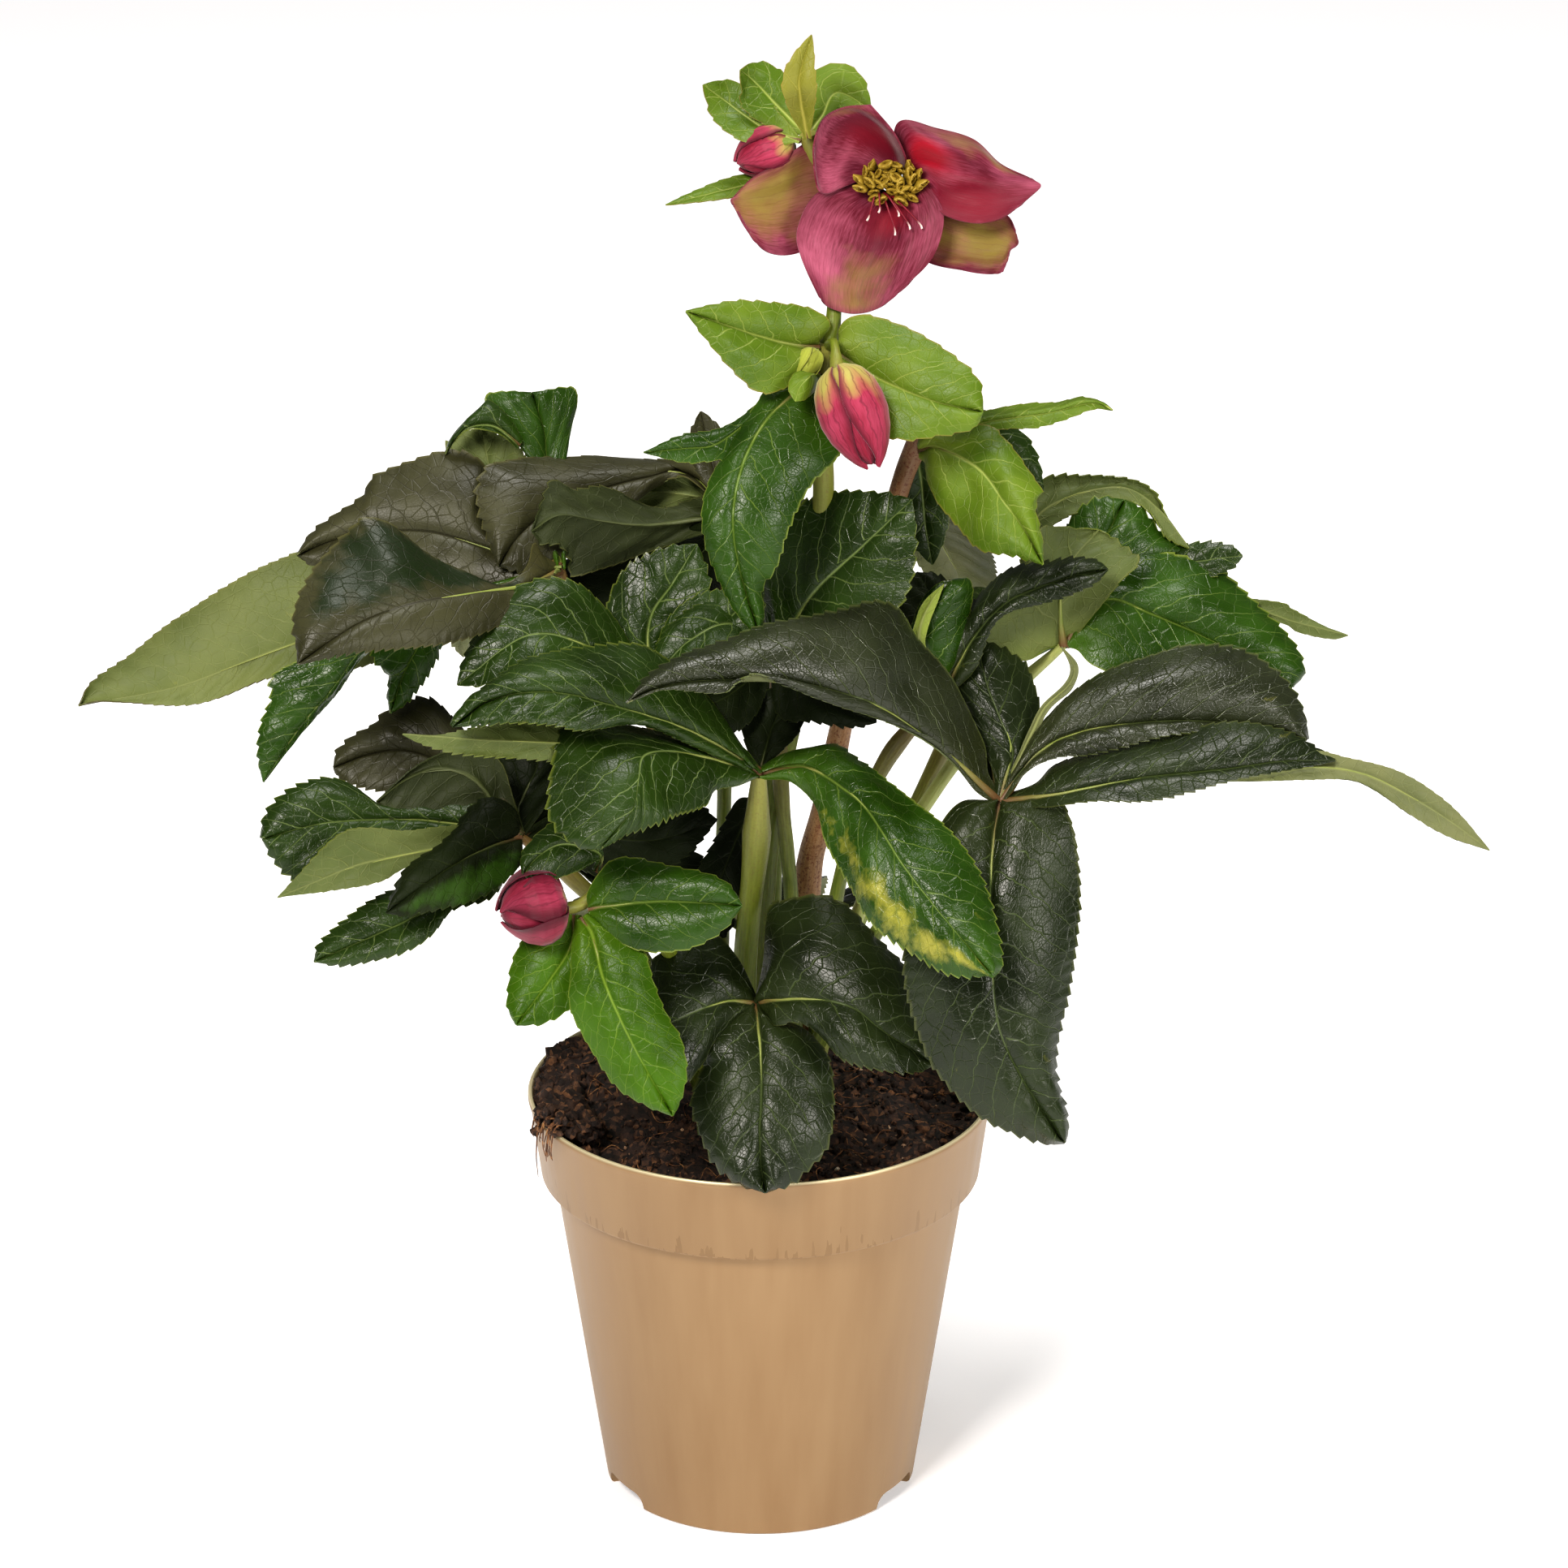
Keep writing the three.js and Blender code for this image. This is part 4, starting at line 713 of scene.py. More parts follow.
leafLeftUpper = {
    "finish": "bronze", "slot": "bronze_leaf", "root": 168, "stalk": [(-26, 6, 179), (-44, 2, 229)],
    "hub": (-54, -6, 275), "leaflets": [
    {"shows": "under", "rib": [(562, 720, 17), (450, 765, 9), (340, 802, 7), (220, 847, 9), (97, 870, 12)],
     "edges": [[(600, 690), (480, 655), (400, 662), (367, 680), (320, 700), (280, 722), (240, 748),
     (200, 775), (160, 808), (115, 842)],
     [(560, 760), (450, 820), (360, 830), (320, 840), (280, 855), (240, 866), (200, 869), (160, 866),
     (120, 864)]],
     "back": ([0, -2, -6, -8, -5, 0], [0, 0, 3, 5, 4, 0]), "arch": (-2, 0), "toothed": 0.5, "wavy": 0.5},
    {"rib": [(665, 712, 40), (640, 724, 47), (603, 727, 55), (560, 734, 62), (507, 744, 69), (453, 763, 74),
     (410, 788, 78), (367, 819, 79)],
     "edges": [[(672, 688), (660, 672), (652, 698), (636, 716), (608, 724), (575, 708), (540, 692),
     (517, 677), (495, 657), (477, 644), (450, 638), (432, 652), (405, 680), (388, 702), (371, 735),
     (363, 765), (366, 795)],
     [(683, 697), (678, 720), (653, 747), (610, 773), (560, 790), (500, 798), (440, 803), (400, 811)]],
     "back": ([0, 0, -2, -8, -12, -8, 0], [0, 3, 3, 2, 1]), "arch": ([0, 0, 0, 3, 4, 1], 1.5), "wavy": 0.3,
     "bulged": 0.35, "patches": [(0.3, -0.7, 0.14, 1.2), (0.45, -0.6, 0.2, 1.5), (0.62, -0.6, 0.2, 1.5),
     (0.76, -0.65, 0.12, 1.2)], "dents": [(0.62, -0.5, 0.08, 1.8), (0.7, -0.5, 0.05, -1.5)]},
    {"rib": [(650, 693, 27), (590, 672, 24), (530, 655, 21), (470, 655, 18), (415, 665, 16), (366, 684, 15)],
     "edges": [[(640, 715), (612, 690), (597, 655), (588, 612), (598, 578), (575, 558), (545, 557),
     (500, 572), (462, 588), (446, 613), (412, 635), (385, 657)],
     [(660, 720), (600, 725), (540, 718), (480, 708), (420, 705), (388, 698)]],
     "back": ([0, -3, -7, -9, -7, -3, 0], [0, 3, 4, 3, 0]), "arch": (3, 1), "wavy": 0.3, "bulged": 0.3},
    {"finish": "bright", "rib": [(688, 640, 14), (676, 580, 12), (670, 530, 12), (655, 484, 13)],
     "edges": [[(697, 600), (697, 562), (703, 520), (709, 493), (703, 478)],
     [(660, 610), (648, 565), (630, 540), (610, 515), (601, 490), (625, 487)]],
     "back": ([0, -2, -3, 0], [0, -3, -2, 0]), "arch": (1, 3), "dents": [(0.8, 0.3, 0.08, 1.6)],
     "toothed": 0.3},
    {"finish": "mid", "shows": "under", "rib": [(640, 640, 10), (608, 590, 7), (597, 545, 6), (592, 528, 7)],
     "edges": [[(610, 650), (575, 605), (549, 559), (566, 534)],
     [(670, 645), (660, 600), (648, 566), (632, 542)]], "back": ([0, 0, 0], [0, 0, 0])},
    {"finish": "mid", "from": (640, 549, 14), "rib": [(610, 526, 17), (580, 526, 18), (560, 542, 16),
     (549, 560, 12)], "edges": [[(622, 510), (602, 489), (585, 503), (566, 526), (554, 545)],
     [(620, 535), (597, 529), (580, 528), (566, 536)]],
     "back": ([0, -3, -3, 0], [0, 1, 1, 0]), "arch": (2, 0), "toothed": 0},
    {"finish": "bright", "rib": [(500, 760, 27), (445, 803, 27), (410, 850, 26), (370, 897, 25),
     (325, 964, 23)], "edges": [[(460, 760), (400, 800), (338, 830), (334, 860), (322, 893), (320, 930)],
     [(505, 775), (450, 806), (413, 852), (373, 899)]],
     "back": ([0, 0, -2, -1, 0], [0, -5, -6, -4, 0]), "arch": (1, 0)},
    {"finish": "bright", "rib": [(540, 770, 27), (512, 803, 27), (494, 840, 26), (481, 879, 25)],
     "edges": [[(500, 765), (460, 797), (462, 820), (477, 832), (477, 856)],
     [(560, 785), (542, 810), (525, 838), (500, 867)]],
     "back": ([0, -3, -3, 0], [0, -2, -2, 0]), "arch": (1, 1)}]}
makeLeaf("leafLeftUpper", "leaf_left_upper", leafLeftUpper, 6)

leafLeftBack = {
    "finish": "bronze", "slot": "bronze_leaf", "root": 146, "stalk": [(-10, 12, 196), (-9, 8, 246)],
    "hub": (-8, 0, 287), "leaflets": [
    {"finish": "deepAndShaded", "shows": "under", "rib": [(860, 640, 18), (800, 648, 25), (740, 642, 30),
     (690, 635, 33), (655, 655, 34)],
     "edges": [[(866, 618), (828, 628), (800, 624), (760, 605), (735, 600), (708, 604), (680, 592),
     (666, 628)], [(866, 657), (820, 672), (750, 697), (706, 710), (704, 690), (690, 672), (668, 671)]],
     "back": ([0, 0, 1, 2, 0], [0, 1, 0, -2, 0]), "arch": (-1, -1)},
    {"rib": [(850, 582, 9), (800, 587, 13), (740, 603, 18), (680, 628, 24), (640, 660, 29), (614, 698, 31)],
     "edges": [[(895, 600), (850, 572), (800, 567), (733, 562), (700, 565), (660, 565), (620, 571),
     (600, 576), (589, 597), (588, 620), (597, 655)],
     [(890, 620), (850, 589), (830, 590), (800, 603), (760, 640), (720, 670), (680, 692), (645, 704)]],
     "back": ([0, -4, -8, -5, 0, 0], [0, 2, 3, 2, 0]), "arch": (3, 1), "wavy": 0.3, "bulged": 0.3},
    {"line": [(-13, 14, 299), (-16, 18, 312)], "width": 11, "face": (0, -0.8, 0.6), "fold": 10, "wide": 0.6},
    {"finish": "mid", "shows": "under", "rib": [(885, 620, 4), (845, 610, 3), (800, 606, 3), (760, 610, 3)],
     "edges": [[(895, 590), (868, 572), (830, 580), (780, 592)],
     [(895, 660), (850, 655), (800, 645), (770, 632)]], "back": ([0, 0, 0], [0, -1, 0])},
    # dark leaflets in painted shade fill the gaps behind the leaves
    {"finish": "deepAndShaded", "rib": [(850, 695, 6), (790, 735, 8), (730, 765, 8), (660, 785, 6)],
     "edges": [[(850, 650), (790, 660), (730, 680), (670, 710)],
     [(870, 760), (810, 800), (740, 815), (690, 810)]],
     "back": ([-1, -5, -5, 0], [0, 2, 2, 0]), "arch": (2, 1)},
    {"finish": "deepAndShaded", "rib": [(930, 700, 2), (950, 760, 4), (960, 830, 6), (950, 880, 8)],
     "edges": [[(890, 700), (880, 760), (890, 830), (920, 870)],
     [(980, 700), (1020, 760), (1025, 830), (990, 875)]],
     "back": ([-1, -5, -5, 0], [0, -5, -5, 0]), "arch": (2, 1)}]}
makeLeaf("leafLeftBack", "leaf_left_back", leafLeftBack, 7)

leafLeftMid = {
    "finish": "mid", "slot": "green_leaf", "root": -170, "stalk": [(-21, -8, 185), (-28, -16, 220)],
    "hub": (-29, -23, 246), "leaflets": [
    {"line": [(-45, -32, 262), (-62, -38, 268), (-81, -44, 256)], "width": 36, "face": (0, -0.6, 0.8),
     "fold": 8},
    {"line": [(-30, -16, 263), (-23, -12, 274), (-17, -8, 283)], "width": 26, "face": (0, -0.8, 0.6),
     "fold": 8},
    {"line": [(-19, -24, 259), (-8, -22, 267), (1, -18, 275)], "width": 22, "face": (0, -0.7, 0.7),
     "fold": 8}]}
makeLeaf("leafLeftMid", "leaf_left_mid", leafLeftMid, 8)

leafMiddle = {
    "finish": "mid", "slot": "green_leaf", "root": -49, "stalk": [(9, -16, 175), (6, -18, 215)],
    "hub": (4, -14, 252), "leaflets": [
    {"line": [(14, -24, 274), (28, -28, 290), (41, -28, 303)], "width": 42, "face": (0, -0.75, 0.65),
     "fold": 6},
    {"line": [(-7, -24, 266), (-19, -32, 264), (-30, -36, 253)], "width": 20, "face": (0, -0.5, 0.85),
     "fold": 6},
    # dark leaflets in painted shade fill the gaps behind the leaves
    {"finish": "deepAndShaded", "rib": [(985, 850, 42), (1030, 868, 48), (1080, 890, 52)],
     "edges": [[(980, 835), (1030, 840), (1075, 865)], [(960, 880), (1000, 888), (1050, 895)]],
     "back": ([0, -3, 0], [0, 1, 0])},
    {"finish": "deepAndShaded", "from": (930, 985, 14), "rib": [(905, 1040, 15), (885, 1090, 14), (865, 1130, 12)],
     "edges": [[(910, 990), (880, 1040), (855, 1080), (845, 1110)],
     [(945, 1010), (925, 1060), (905, 1110), (885, 1130)]], "back": ([0, -3, 0], [0, -3, 0])},
    {"finish": "deepAndShaded", "rib": [(900, 855, 42), (865, 875, 46), (850, 905, 48)],
     "edges": [[(890, 840), (850, 850), (838, 880)], [(930, 880), (900, 905), (870, 915)]],
     "back": ([0, -3, 0], [0, 1, 0])}]}
makeLeaf("leafMiddle", "leaf_middle", leafMiddle, 9)

leafLeftLower = {
    "finish": "mid", "slot": "green_leaf", "root": -150, "stalk": [(-32, -20, 166), (-52, -28, 194)],
    "hub": (-65, -32, 207), "leaflets": [
    # a leaf in painted shade, with painted light in green patches on its lit half
    {"patches": [(0.3, 0.75, 0.2, 1.2), (0.55, 0.7, 0.2, 1.2), (0.8, 0.6, 0.15, 1.0)], "finish": "deepAndShaded",
     "rib": [(600, 1045, 37), (560, 1065, 44), (520, 1092, 49), (476, 1125, 51)],
     "edges": [[(632, 1000), (600, 984), (570, 1003), (541, 1039), (500, 1074), (480, 1108)],
     [(640, 1060), (609, 1094), (575, 1112), (530, 1122), (500, 1127)]],
     "back": ([-3, -8, -8, -3], [0, 2, 2, 0]), "arch": (2, 1)},
    {"rib": [(600, 1075, 31), (550, 1110, 34), (500, 1135, 36), (440, 1162, 38), (387, 1185, 39)],
     "edges": [[(590, 1060), (540, 1082), (480, 1100), (424, 1136), (393, 1163)],
     [(610, 1100), (558, 1120), (534, 1149), (505, 1170), (460, 1184), (420, 1191)]],
     "back": ([-1, -4, -5, -1], [0, 2, 2, 0]), "arch": (1.5, 1)},
    {"shows": "under", "rib": [(590, 1035, 33), (540, 1045, 37), (490, 1055, 40), (440, 1066, 43),
     (390, 1086, 44), (342, 1106, 44)],
     "edges": [[(600, 1020), (550, 1020), (500, 1025), (465, 1021), (431, 1022), (403, 1039), (369, 1077)],
     [(590, 1050), (540, 1062), (499, 1069), (465, 1087), (403, 1098), (358, 1103)]],
     "back": ([0, 2, 2, 0], [0, 0, 0, 0]), "toothed": 0.4},
    {"rib": [(590, 1020, 27), (520, 1010, 29), (450, 1010, 32), (390, 1016, 35), (323, 1034, 36)],
     "edges": [[(600, 1000), (520, 985), (465, 985), (438, 966), (403, 957), (362, 971), (336, 1000)],
     [(580, 1040), (506, 1040), (450, 1060), (400, 1087), (362, 1083), (338, 1062)]],
     "back": ([-1, -5, -7, -2], [0, 2, 2, 0]), "arch": (2, 1)},
    {"finish": "bronze", "rib": [(600, 985, 22), (555, 945, 20), (500, 925, 20), (455, 930, 20),
     (411, 946, 20)],
     "edges": [[(612, 960), (578, 910), (555, 881), (535, 863), (512, 861), (482, 872), (462, 893),
     (436, 906), (414, 926)], [(590, 1000), (540, 978), (480, 975), (440, 966), (418, 955)]],
     "back": ([-1, -4, -6, -1], [0, 2, 2, 0]), "arch": (2, 1)},
    {"finish": "deepAndShaded", "shows": "under", "rib": [(612, 1000, 26), (585, 960, 27), (540, 948, 28),
     (500, 962, 29), (464, 988, 30)],
     "edges": [[(628, 985), (618, 945), (600, 930), (555, 928), (515, 945), (485, 968)],
     [(600, 1020), (570, 1005), (540, 1010), (506, 1033), (482, 1012)]],
     "back": ([0, 1, 1, 0], [0, 2, 2, 0]), "arch": (-1, -1), "toothed": 0.3},
    # dark leaflets in painted shade fill the gaps behind the leaves
    {"finish": "deepAndShaded", "rib": [(640, 990, 14), (660, 950, 12), (665, 910, 10), (650, 870, 10)],
     "edges": [[(620, 985), (610, 940), (620, 890)], [(670, 1000), (700, 950), (695, 890)]],
     "back": ([0, -3, 0], [0, -3, 0])},
    {"finish": "deepAndShaded", "rib": [(690, 1010, 14), (740, 1030, 14), (810, 1035, 14), (884, 1010, 12)],
     "edges": [[(680, 990), (740, 980), (800, 985), (850, 985)],
     [(680, 1050), (740, 1080), (800, 1080), (850, 1050)]], "back": ([0, -3, 0], [0, 1, 0])},
    {"finish": "deepAndShaded", "rib": [(700, 1025, 10), (770, 1055, 8), (840, 1090, 6), (905, 1140, 4)],
     "edges": [[(700, 1000), (780, 1015), (850, 1045), (900, 1095)],
     [(690, 1060), (760, 1110), (830, 1150), (880, 1160)]], "back": ([0, -3, 0], [0, 1, 0])}]}
makeLeaf("leafLeftLower", "leaf_left_lower", leafLeftLower, 10)

leafBackLeft = {
    "finish": "dark", "slot": "dark_leaf", "root": 124, "stalk": [(-20, 24, 160), (-38, 34, 200)],
    "hub": (-48, 41, 222), "leaflets": [
    {"line": [(-72, 52, 243), (-88, 64, 240), (-102, 74, 224)], "width": 30, "face": (0, 0.3, 0.9),
     "fold": 10},
    {"line": [(-66, 66, 240), (-78, 92, 230), (-86, 112, 204)], "width": 34, "face": (-0.2, 0.5, 0.85),
     "fold": 10},
    {"line": [(-48, 72, 238), (-50, 100, 226), (-50, 126, 194)], "width": 34, "face": (0, 0.5, 0.85),
     "fold": 10},
    {"line": [(-32, 60, 240), (-18, 80, 240), (-8, 100, 224)], "width": 28, "face": (0.2, 0.5, 0.85),
     "fold": 10}]}
makeLeaf("leafBackLeft", "leaf_back_left", leafBackLeft, 11)

leafBackCenter = {
    "finish": "dark", "slot": "dark_leaf", "root": 78, "stalk": [(4, 26, 170), (7, 42, 222)],
    "hub": (10, 50, 250), "leaflets": [
    {"line": [(-6, 78, 262), (-18, 108, 240), (-26, 134, 204)], "width": 32, "face": (0, 0.5, 0.85),
     "fold": 10},
    {"line": [(14, 82, 262), (18, 116, 240), (20, 146, 194)], "width": 36, "face": (0, 0.5, 0.85),
     "fold": 10},
    {"line": [(34, 72, 262), (52, 100, 244), (64, 124, 204)], "width": 34, "face": (0.2, 0.5, 0.85),
     "fold": 10}]}
makeLeaf("leafBackCenter", "leaf_back_center", leafBackCenter, 12)

leafBackRight = {
    "finish": "mid", "slot": "green_leaf", "root": 54, "stalk": [(28, 22, 160), (48, 32, 200)],
    "hub": (61, 37, 228), "leaflets": [
    {"line": [(86, 46, 246), (110, 54, 240), (134, 62, 214)], "width": 32, "face": (0.1, 0.3, 0.9),
     "fold": 10},
    {"line": [(82, 60, 244), (102, 84, 230), (116, 102, 198)], "width": 34, "face": (0.2, 0.5, 0.85),
     "fold": 10},
    {"line": [(64, 64, 240), (72, 90, 230), (78, 114, 204)], "width": 28, "face": (0, 0.5, 0.85),
     "fold": 10}]}
makeLeaf("leafBackRight", "leaf_back_right", leafBackRight, 13)

leafBackLow = {
    "finish": "dark", "slot": "dark_leaf", "root": 102, "stalk": [(2, 32, 132)], "hub": (2, 48, 141),
    "leaflets": [
    {"line": [(-22, 62, 150), (-42, 74, 144), (-58, 86, 128)], "width": 30, "face": (-0.1, 0.4, 0.9),
     "fold": 8},
    {"line": [(2, 76, 148), (2, 98, 134), (2, 114, 108)], "width": 34, "face": (0, 0.5, 0.85), "fold": 8},
    {"line": [(26, 62, 150), (46, 74, 144), (64, 84, 126)], "width": 30, "face": (0.1, 0.4, 0.9), "fold": 8}]}
makeLeaf("leafBackLow", "leaf_back_low", leafBackLow, 14)

print("leaves made")

bractTopCenter = {
    "finish": "young", "slot": "bract", "hub": (13, -2, 396), "leaflets": [
    {"line": [(11, -10, 410), (11, -10, 417), (14, -6, 426)], "width": 9.5, "face": (0, -0.9, 0.3),
     "fold": 25}]}
makeLeaf("bractTopCenter", "bract_top_center", bractTopCenter, 15)

bractTopLeft = {
    "finish": "bract", "slot": "bract", "hub": (11, 0, 395), "leaflets": [
    {"line": [(1, 5, 397), (-9, 11, 402.5), (-15, 11, 407)], "width": 14, "face": (0, -0.7, 0.6),
     "fold": 10}]}
makeLeaf("bractTopLeft", "bract_top_left", bractTopLeft, 16)

bractTopBack = {
    "finish": "bract", "slot": "green_leaf", "hub": (13, 4, 395), "leaflets": [
    {"line": [(5, 8, 402), (-1, 10, 408), (-5, 8, 412)], "width": 15, "face": (0, -0.8, 0.5), "fold": 10},
    {"line": [(17, 10, 399), (21, 14, 404), (30, 12, 400)], "width": 17, "face": (0, -0.8, 0.5), "fold": 10,
     "wide": 0.6}]}
makeLeaf("bractTopBack", "bract_top_back", bractTopBack, 17)

bractTopLow = {
    "finish": "bract", "slot": "bract", "hub": (11, 5, 388), "leaflets": [
    {"line": [(0, 4, 382.5), (-12, 1, 380), (-25, -2, 377.5)], "width": 8, "face": (0, -0.3, 0.95),
     "fold": 10}]}
makeLeaf("bractTopLow", "bract_top_low", bractTopLow, 18)

bractMidLeft = {
    "finish": "bract", "slot": "bract", "hub": (16, -21, 344), "leaflets": [
    {"rib": [(975, 424, 74), (935, 414, 79), (890, 399, 83), (845, 384, 86)], "neck": 2.5,
     "edges": [[(1018, 404), (995, 385), (962, 377), (912, 373), (878, 378)],
     [(1000, 444), (985, 458), (967, 477), (938, 483), (910, 463), (880, 430), (860, 403)]],
     "back": ([-1, -3, -3, 0], [1, 2, 3, 0]), "arch": (1.5, 1.5)}]}
makeLeaf("bractMidLeft", "bract_mid_left", bractMidLeft, 19)

bractMidRight = {
    "finish": "bract", "slot": "bract", "hub": (20, -21, 343), "leaflets": [
    {"rib": [(1069, 459, 73), (1112, 480, 77), (1156, 496, 79), (1211, 508, 80)], "neck": 2.5,
     "edges": [[(1030, 412), (1045, 397), (1072, 393), (1125, 408), (1169, 436), (1201, 470)],
     [(1036, 458), (1058, 500), (1085, 533), (1112, 541), (1150, 538), (1198, 528)]],
     "back": ([-1, -3, -4, 0], [1, 2, 3, 0]), "arch": (2, 2)}]}
makeLeaf("bractMidRight", "bract_mid_right", bractMidRight, 20)

bractMidLow = {
    "finish": "mid", "slot": "green_leaf", "hub": (16, -22, 337), "leaflets": [
    {"finish": "bright", "rib": [(978, 485, 71), (942, 520, 75), (914, 575, 79), (903, 640, 81),
     (912, 705, 79), (936, 783, 75)],
     "edges": [[(985, 470), (955, 480), (932, 510), (893, 560), (874, 590), (867, 622), (869, 656),
     (881, 700), (902, 744), (924, 773)],
     [(1016, 478), (1022, 510), (1031, 556), (1000, 594), (981, 625), (966, 656), (954, 700), (938, 725),
     (940, 756)]], "back": ([-1, -3, -3, -2, 0], [-1, -4, -5, -3, 0]), "arch": (1.5, 2), "neck": 3},
    {"finish": "bright", "rib": [(962, 488, 71), (920, 520, 73), (881, 548, 75), (840, 553, 77),
     (793, 558, 78)], "edges": [[(985, 470), (944, 488), (912, 517), (881, 532), (838, 538)],
     [(990, 490), (950, 525), (915, 562), (881, 568), (844, 570)]],
     "back": ([-1, -3, -2, 0], [0, 1, 1, 0]), "arch": (1, 0)},
    {"line": [(10, -26, 325), (4, -34, 308), (-1, -42, 285)], "width": 14, "face": (0, -0.9, 0.35),
     "fold": 8, "wide": 0.45},
    {"finish": "bract", "rib": [(1000, 462, 80), (985, 478, 83), (980, 495, 84)],
     "edges": [[(1000, 458), (978, 462), (972, 480)], [(1012, 466), (1004, 482), (992, 492)]],
     "toothed": 0.3}]}
makeLeaf("bractMidLow", "bract_mid_low", bractMidLow, 21)

bractSideRight = {
    "finish": "bract", "slot": "bract", "hub": (44, -12, 314), "leaflets": [
    {"rib": [(1172, 532, 50), (1225, 518, 51), (1290, 509, 51), (1345, 497, 51), (1371, 506, 51)],
     "edges": [[(1166, 524), (1219, 508), (1262, 500), (1300, 497), (1331, 489), (1357, 495)],
     [(1175, 542), (1231, 527), (1275, 526), (1312, 517), (1348, 504)]],
     "back": ([0, -5, -6, 0], [0, 2, 1, 0]), "arch": (1.5, 0)}]}
makeLeaf("bractSideRight", "bract_side_right", bractSideRight, 22)

bractSideLow = {
    "finish": "bract", "slot": "bract", "hub": (43, -14, 312), "leaflets": [
    {"rib": [(1156, 552, 56), (1206, 578, 63), (1237, 619, 68), (1264, 656, 71), (1285, 696, 71)],
     "neck": 2.5,
     "edges": [[(1142, 540), (1175, 540), (1212, 530), (1238, 550), (1263, 575), (1286, 604), (1278, 620),
     (1279, 640), (1283, 664)],
     [(1137, 568), (1147, 594), (1157, 620), (1180, 650), (1207, 677), (1250, 687)]],
     "back": ([-1, -3, -4, -2, 0], [-1, -4, -5, -2, 0]), "arch": (2, 2), "dents": [(0.4, -0.5, 0.12, -2.5),
     (0.55, 0.5, 0.1, 1.5)]}]}
makeLeaf("bractSideLow", "bract_side_low", bractSideLow, 23)

bractSideBack = {
    "finish": "mid", "slot": "green_leaf", "hub": (42, -7, 312), "leaflets": [
    {"line": [(54, -4, 314), (67, -4, 309), (77, -8, 298)], "width": 17, "face": (0, -0.6, 0.8), "fold": 8},
    {"line": [(44, -2, 299), (45, -5, 288), (47, -8, 277)], "width": 15, "face": (0, -0.9, 0.3), "fold": 8}]}
makeLeaf("bractSideBack", "bract_side_back", bractSideBack, 24)

bractBudRight = {
    "finish": "bright", "slot": "young_bract", "hub": (-46, -59, 197), "leaflets": [
    {"rib": [(745, 1117, 52), (809, 1111, 55), (871, 1113, 57), (914, 1116, 58)], "neck": 2,
     "edges": [[(728, 1100), (740, 1077), (755, 1062), (781, 1059), (816, 1067), (871, 1077), (898, 1091)],
     [(735, 1133), (750, 1148), (788, 1169), (836, 1172), (871, 1161), (896, 1143)]],
     "back": ([-1, -3, -3, 0], [0, 1, 2, 0]), "arch": (1.5, 1.5)}]}
makeLeaf("bractBudRight", "bract_bud_right", bractBudRight, 25)

bractBudLow = {
    "finish": "fresh", "slot": "young_bract", "hub": (-48, -60, 195), "leaflets": [
    {"rib": [(730, 1153, 53), (745, 1211, 56), (781, 1290, 57), (829, 1375, 55)], "neck": 2,
     "edges": [[(742, 1145), (770, 1160), (791, 1174), (806, 1211), (823, 1252), (838, 1282), (843, 1321),
     (837, 1356)],
     [(711, 1147), (711, 1197), (705, 1232), (709, 1259), (726, 1295), (755, 1332), (795, 1358)]],
     "back": ([0, -3, -4, 0], [0, -3, -4, 0]), "arch": (1.5, 1.5)}]}
makeLeaf("bractBudLow", "bract_bud_low", bractBudLow, 26)

bractBudLeft = {
    "finish": "fresh", "slot": "young_bract", "hub": (-50, -58, 195), "leaflets": [
    {"rib": [(704, 1163, 48), (680, 1204, 49), (636, 1263, 49)], "neck": 2,
     "edges": [[(685, 1146), (650, 1154), (631, 1182), (626, 1211), (626, 1240)],
     [(709, 1185), (712, 1225), (699, 1243), (671, 1258)]],
     "back": ([0, -3, -3, 0], [0, -1, -1, 0]), "arch": (1.5, 1)}]}
makeLeaf("bractBudLeft", "bract_bud_left", bractBudLeft, 27)

bractBudTop = {
    "finish": "mid", "slot": "green_leaf", "hub": (-44, -52, 205), "leaflets": [
    {"rib": [(740, 1052, 50), (695, 1040, 56), (665, 1054, 59), (644, 1077, 60)],
     "edges": [[(738, 1042), (719, 1024), (699, 1014), (678, 1019), (657, 1036), (643, 1056)],
     [(736, 1062), (719, 1072), (685, 1083), (660, 1084)]],
     "back": ([-1, -4, -4, 0], [0, 1, 1, 0]), "arch": (1.5, 0.5)}]}
makeLeaf("bractBudTop", "bract_bud_top", bractBudTop, 28)

print("bracts made")


# flowering stems, each one or more tapering runs with a slight swelling where they meet
def makeStem(name, node, stem, seed):
    parts = [makeStalk(run["line"], run["radii"], stalkFinishes[stem["finish"]], seed + number,
                       sides=20, pitch=2) for number, run in enumerate(stem["runs"])]
    finishPiece(name, parts, 60, stem["slot"], node)


flowerStemMain = {
    "finish": "green", "slot": "green_stem",
    "runs": [
        {"line": [(0, 0, 112), (-1, -6, 160), (3, -12, 206), (11, -14, 248), (17, -16, 293), (17, -18, 319),
                  (18, -18, 344)], "radii": [4.6, 4.2, 3.9, 3.6, 3.3, 3.0, 2.8, 3.2]},
        {"line": [(18, -18, 340), (20, -14, 351), (20, -2, 367), (17, 4, 381), (13, 2, 396)],
         "radii": [2.6, 2.0, 1.8, 1.6, 1.7, 2.3]},
        {"line": [(13, 2, 394), (21, 11, 396), (30, 14, 391), (35.2, 10, 384), (35.3, 3.6, 382.2)],
         "radii": [1.9, 1.5, 1.4, 1.7, 2.4, 2.4]},
    ],
}
flowerStemSide = {
    "finish": "red", "slot": "red_stem",
    "runs": [{"line": [(14.5, -0.5, 112), (13, -1, 177), (18, -4, 205), (25, -6, 242), (37, -8, 295),
                       (43, -10, 314)], "radii": [4.4, 4.0, 3.8, 3.5, 3.1, 2.7, 2.5, 3.0]}],
}
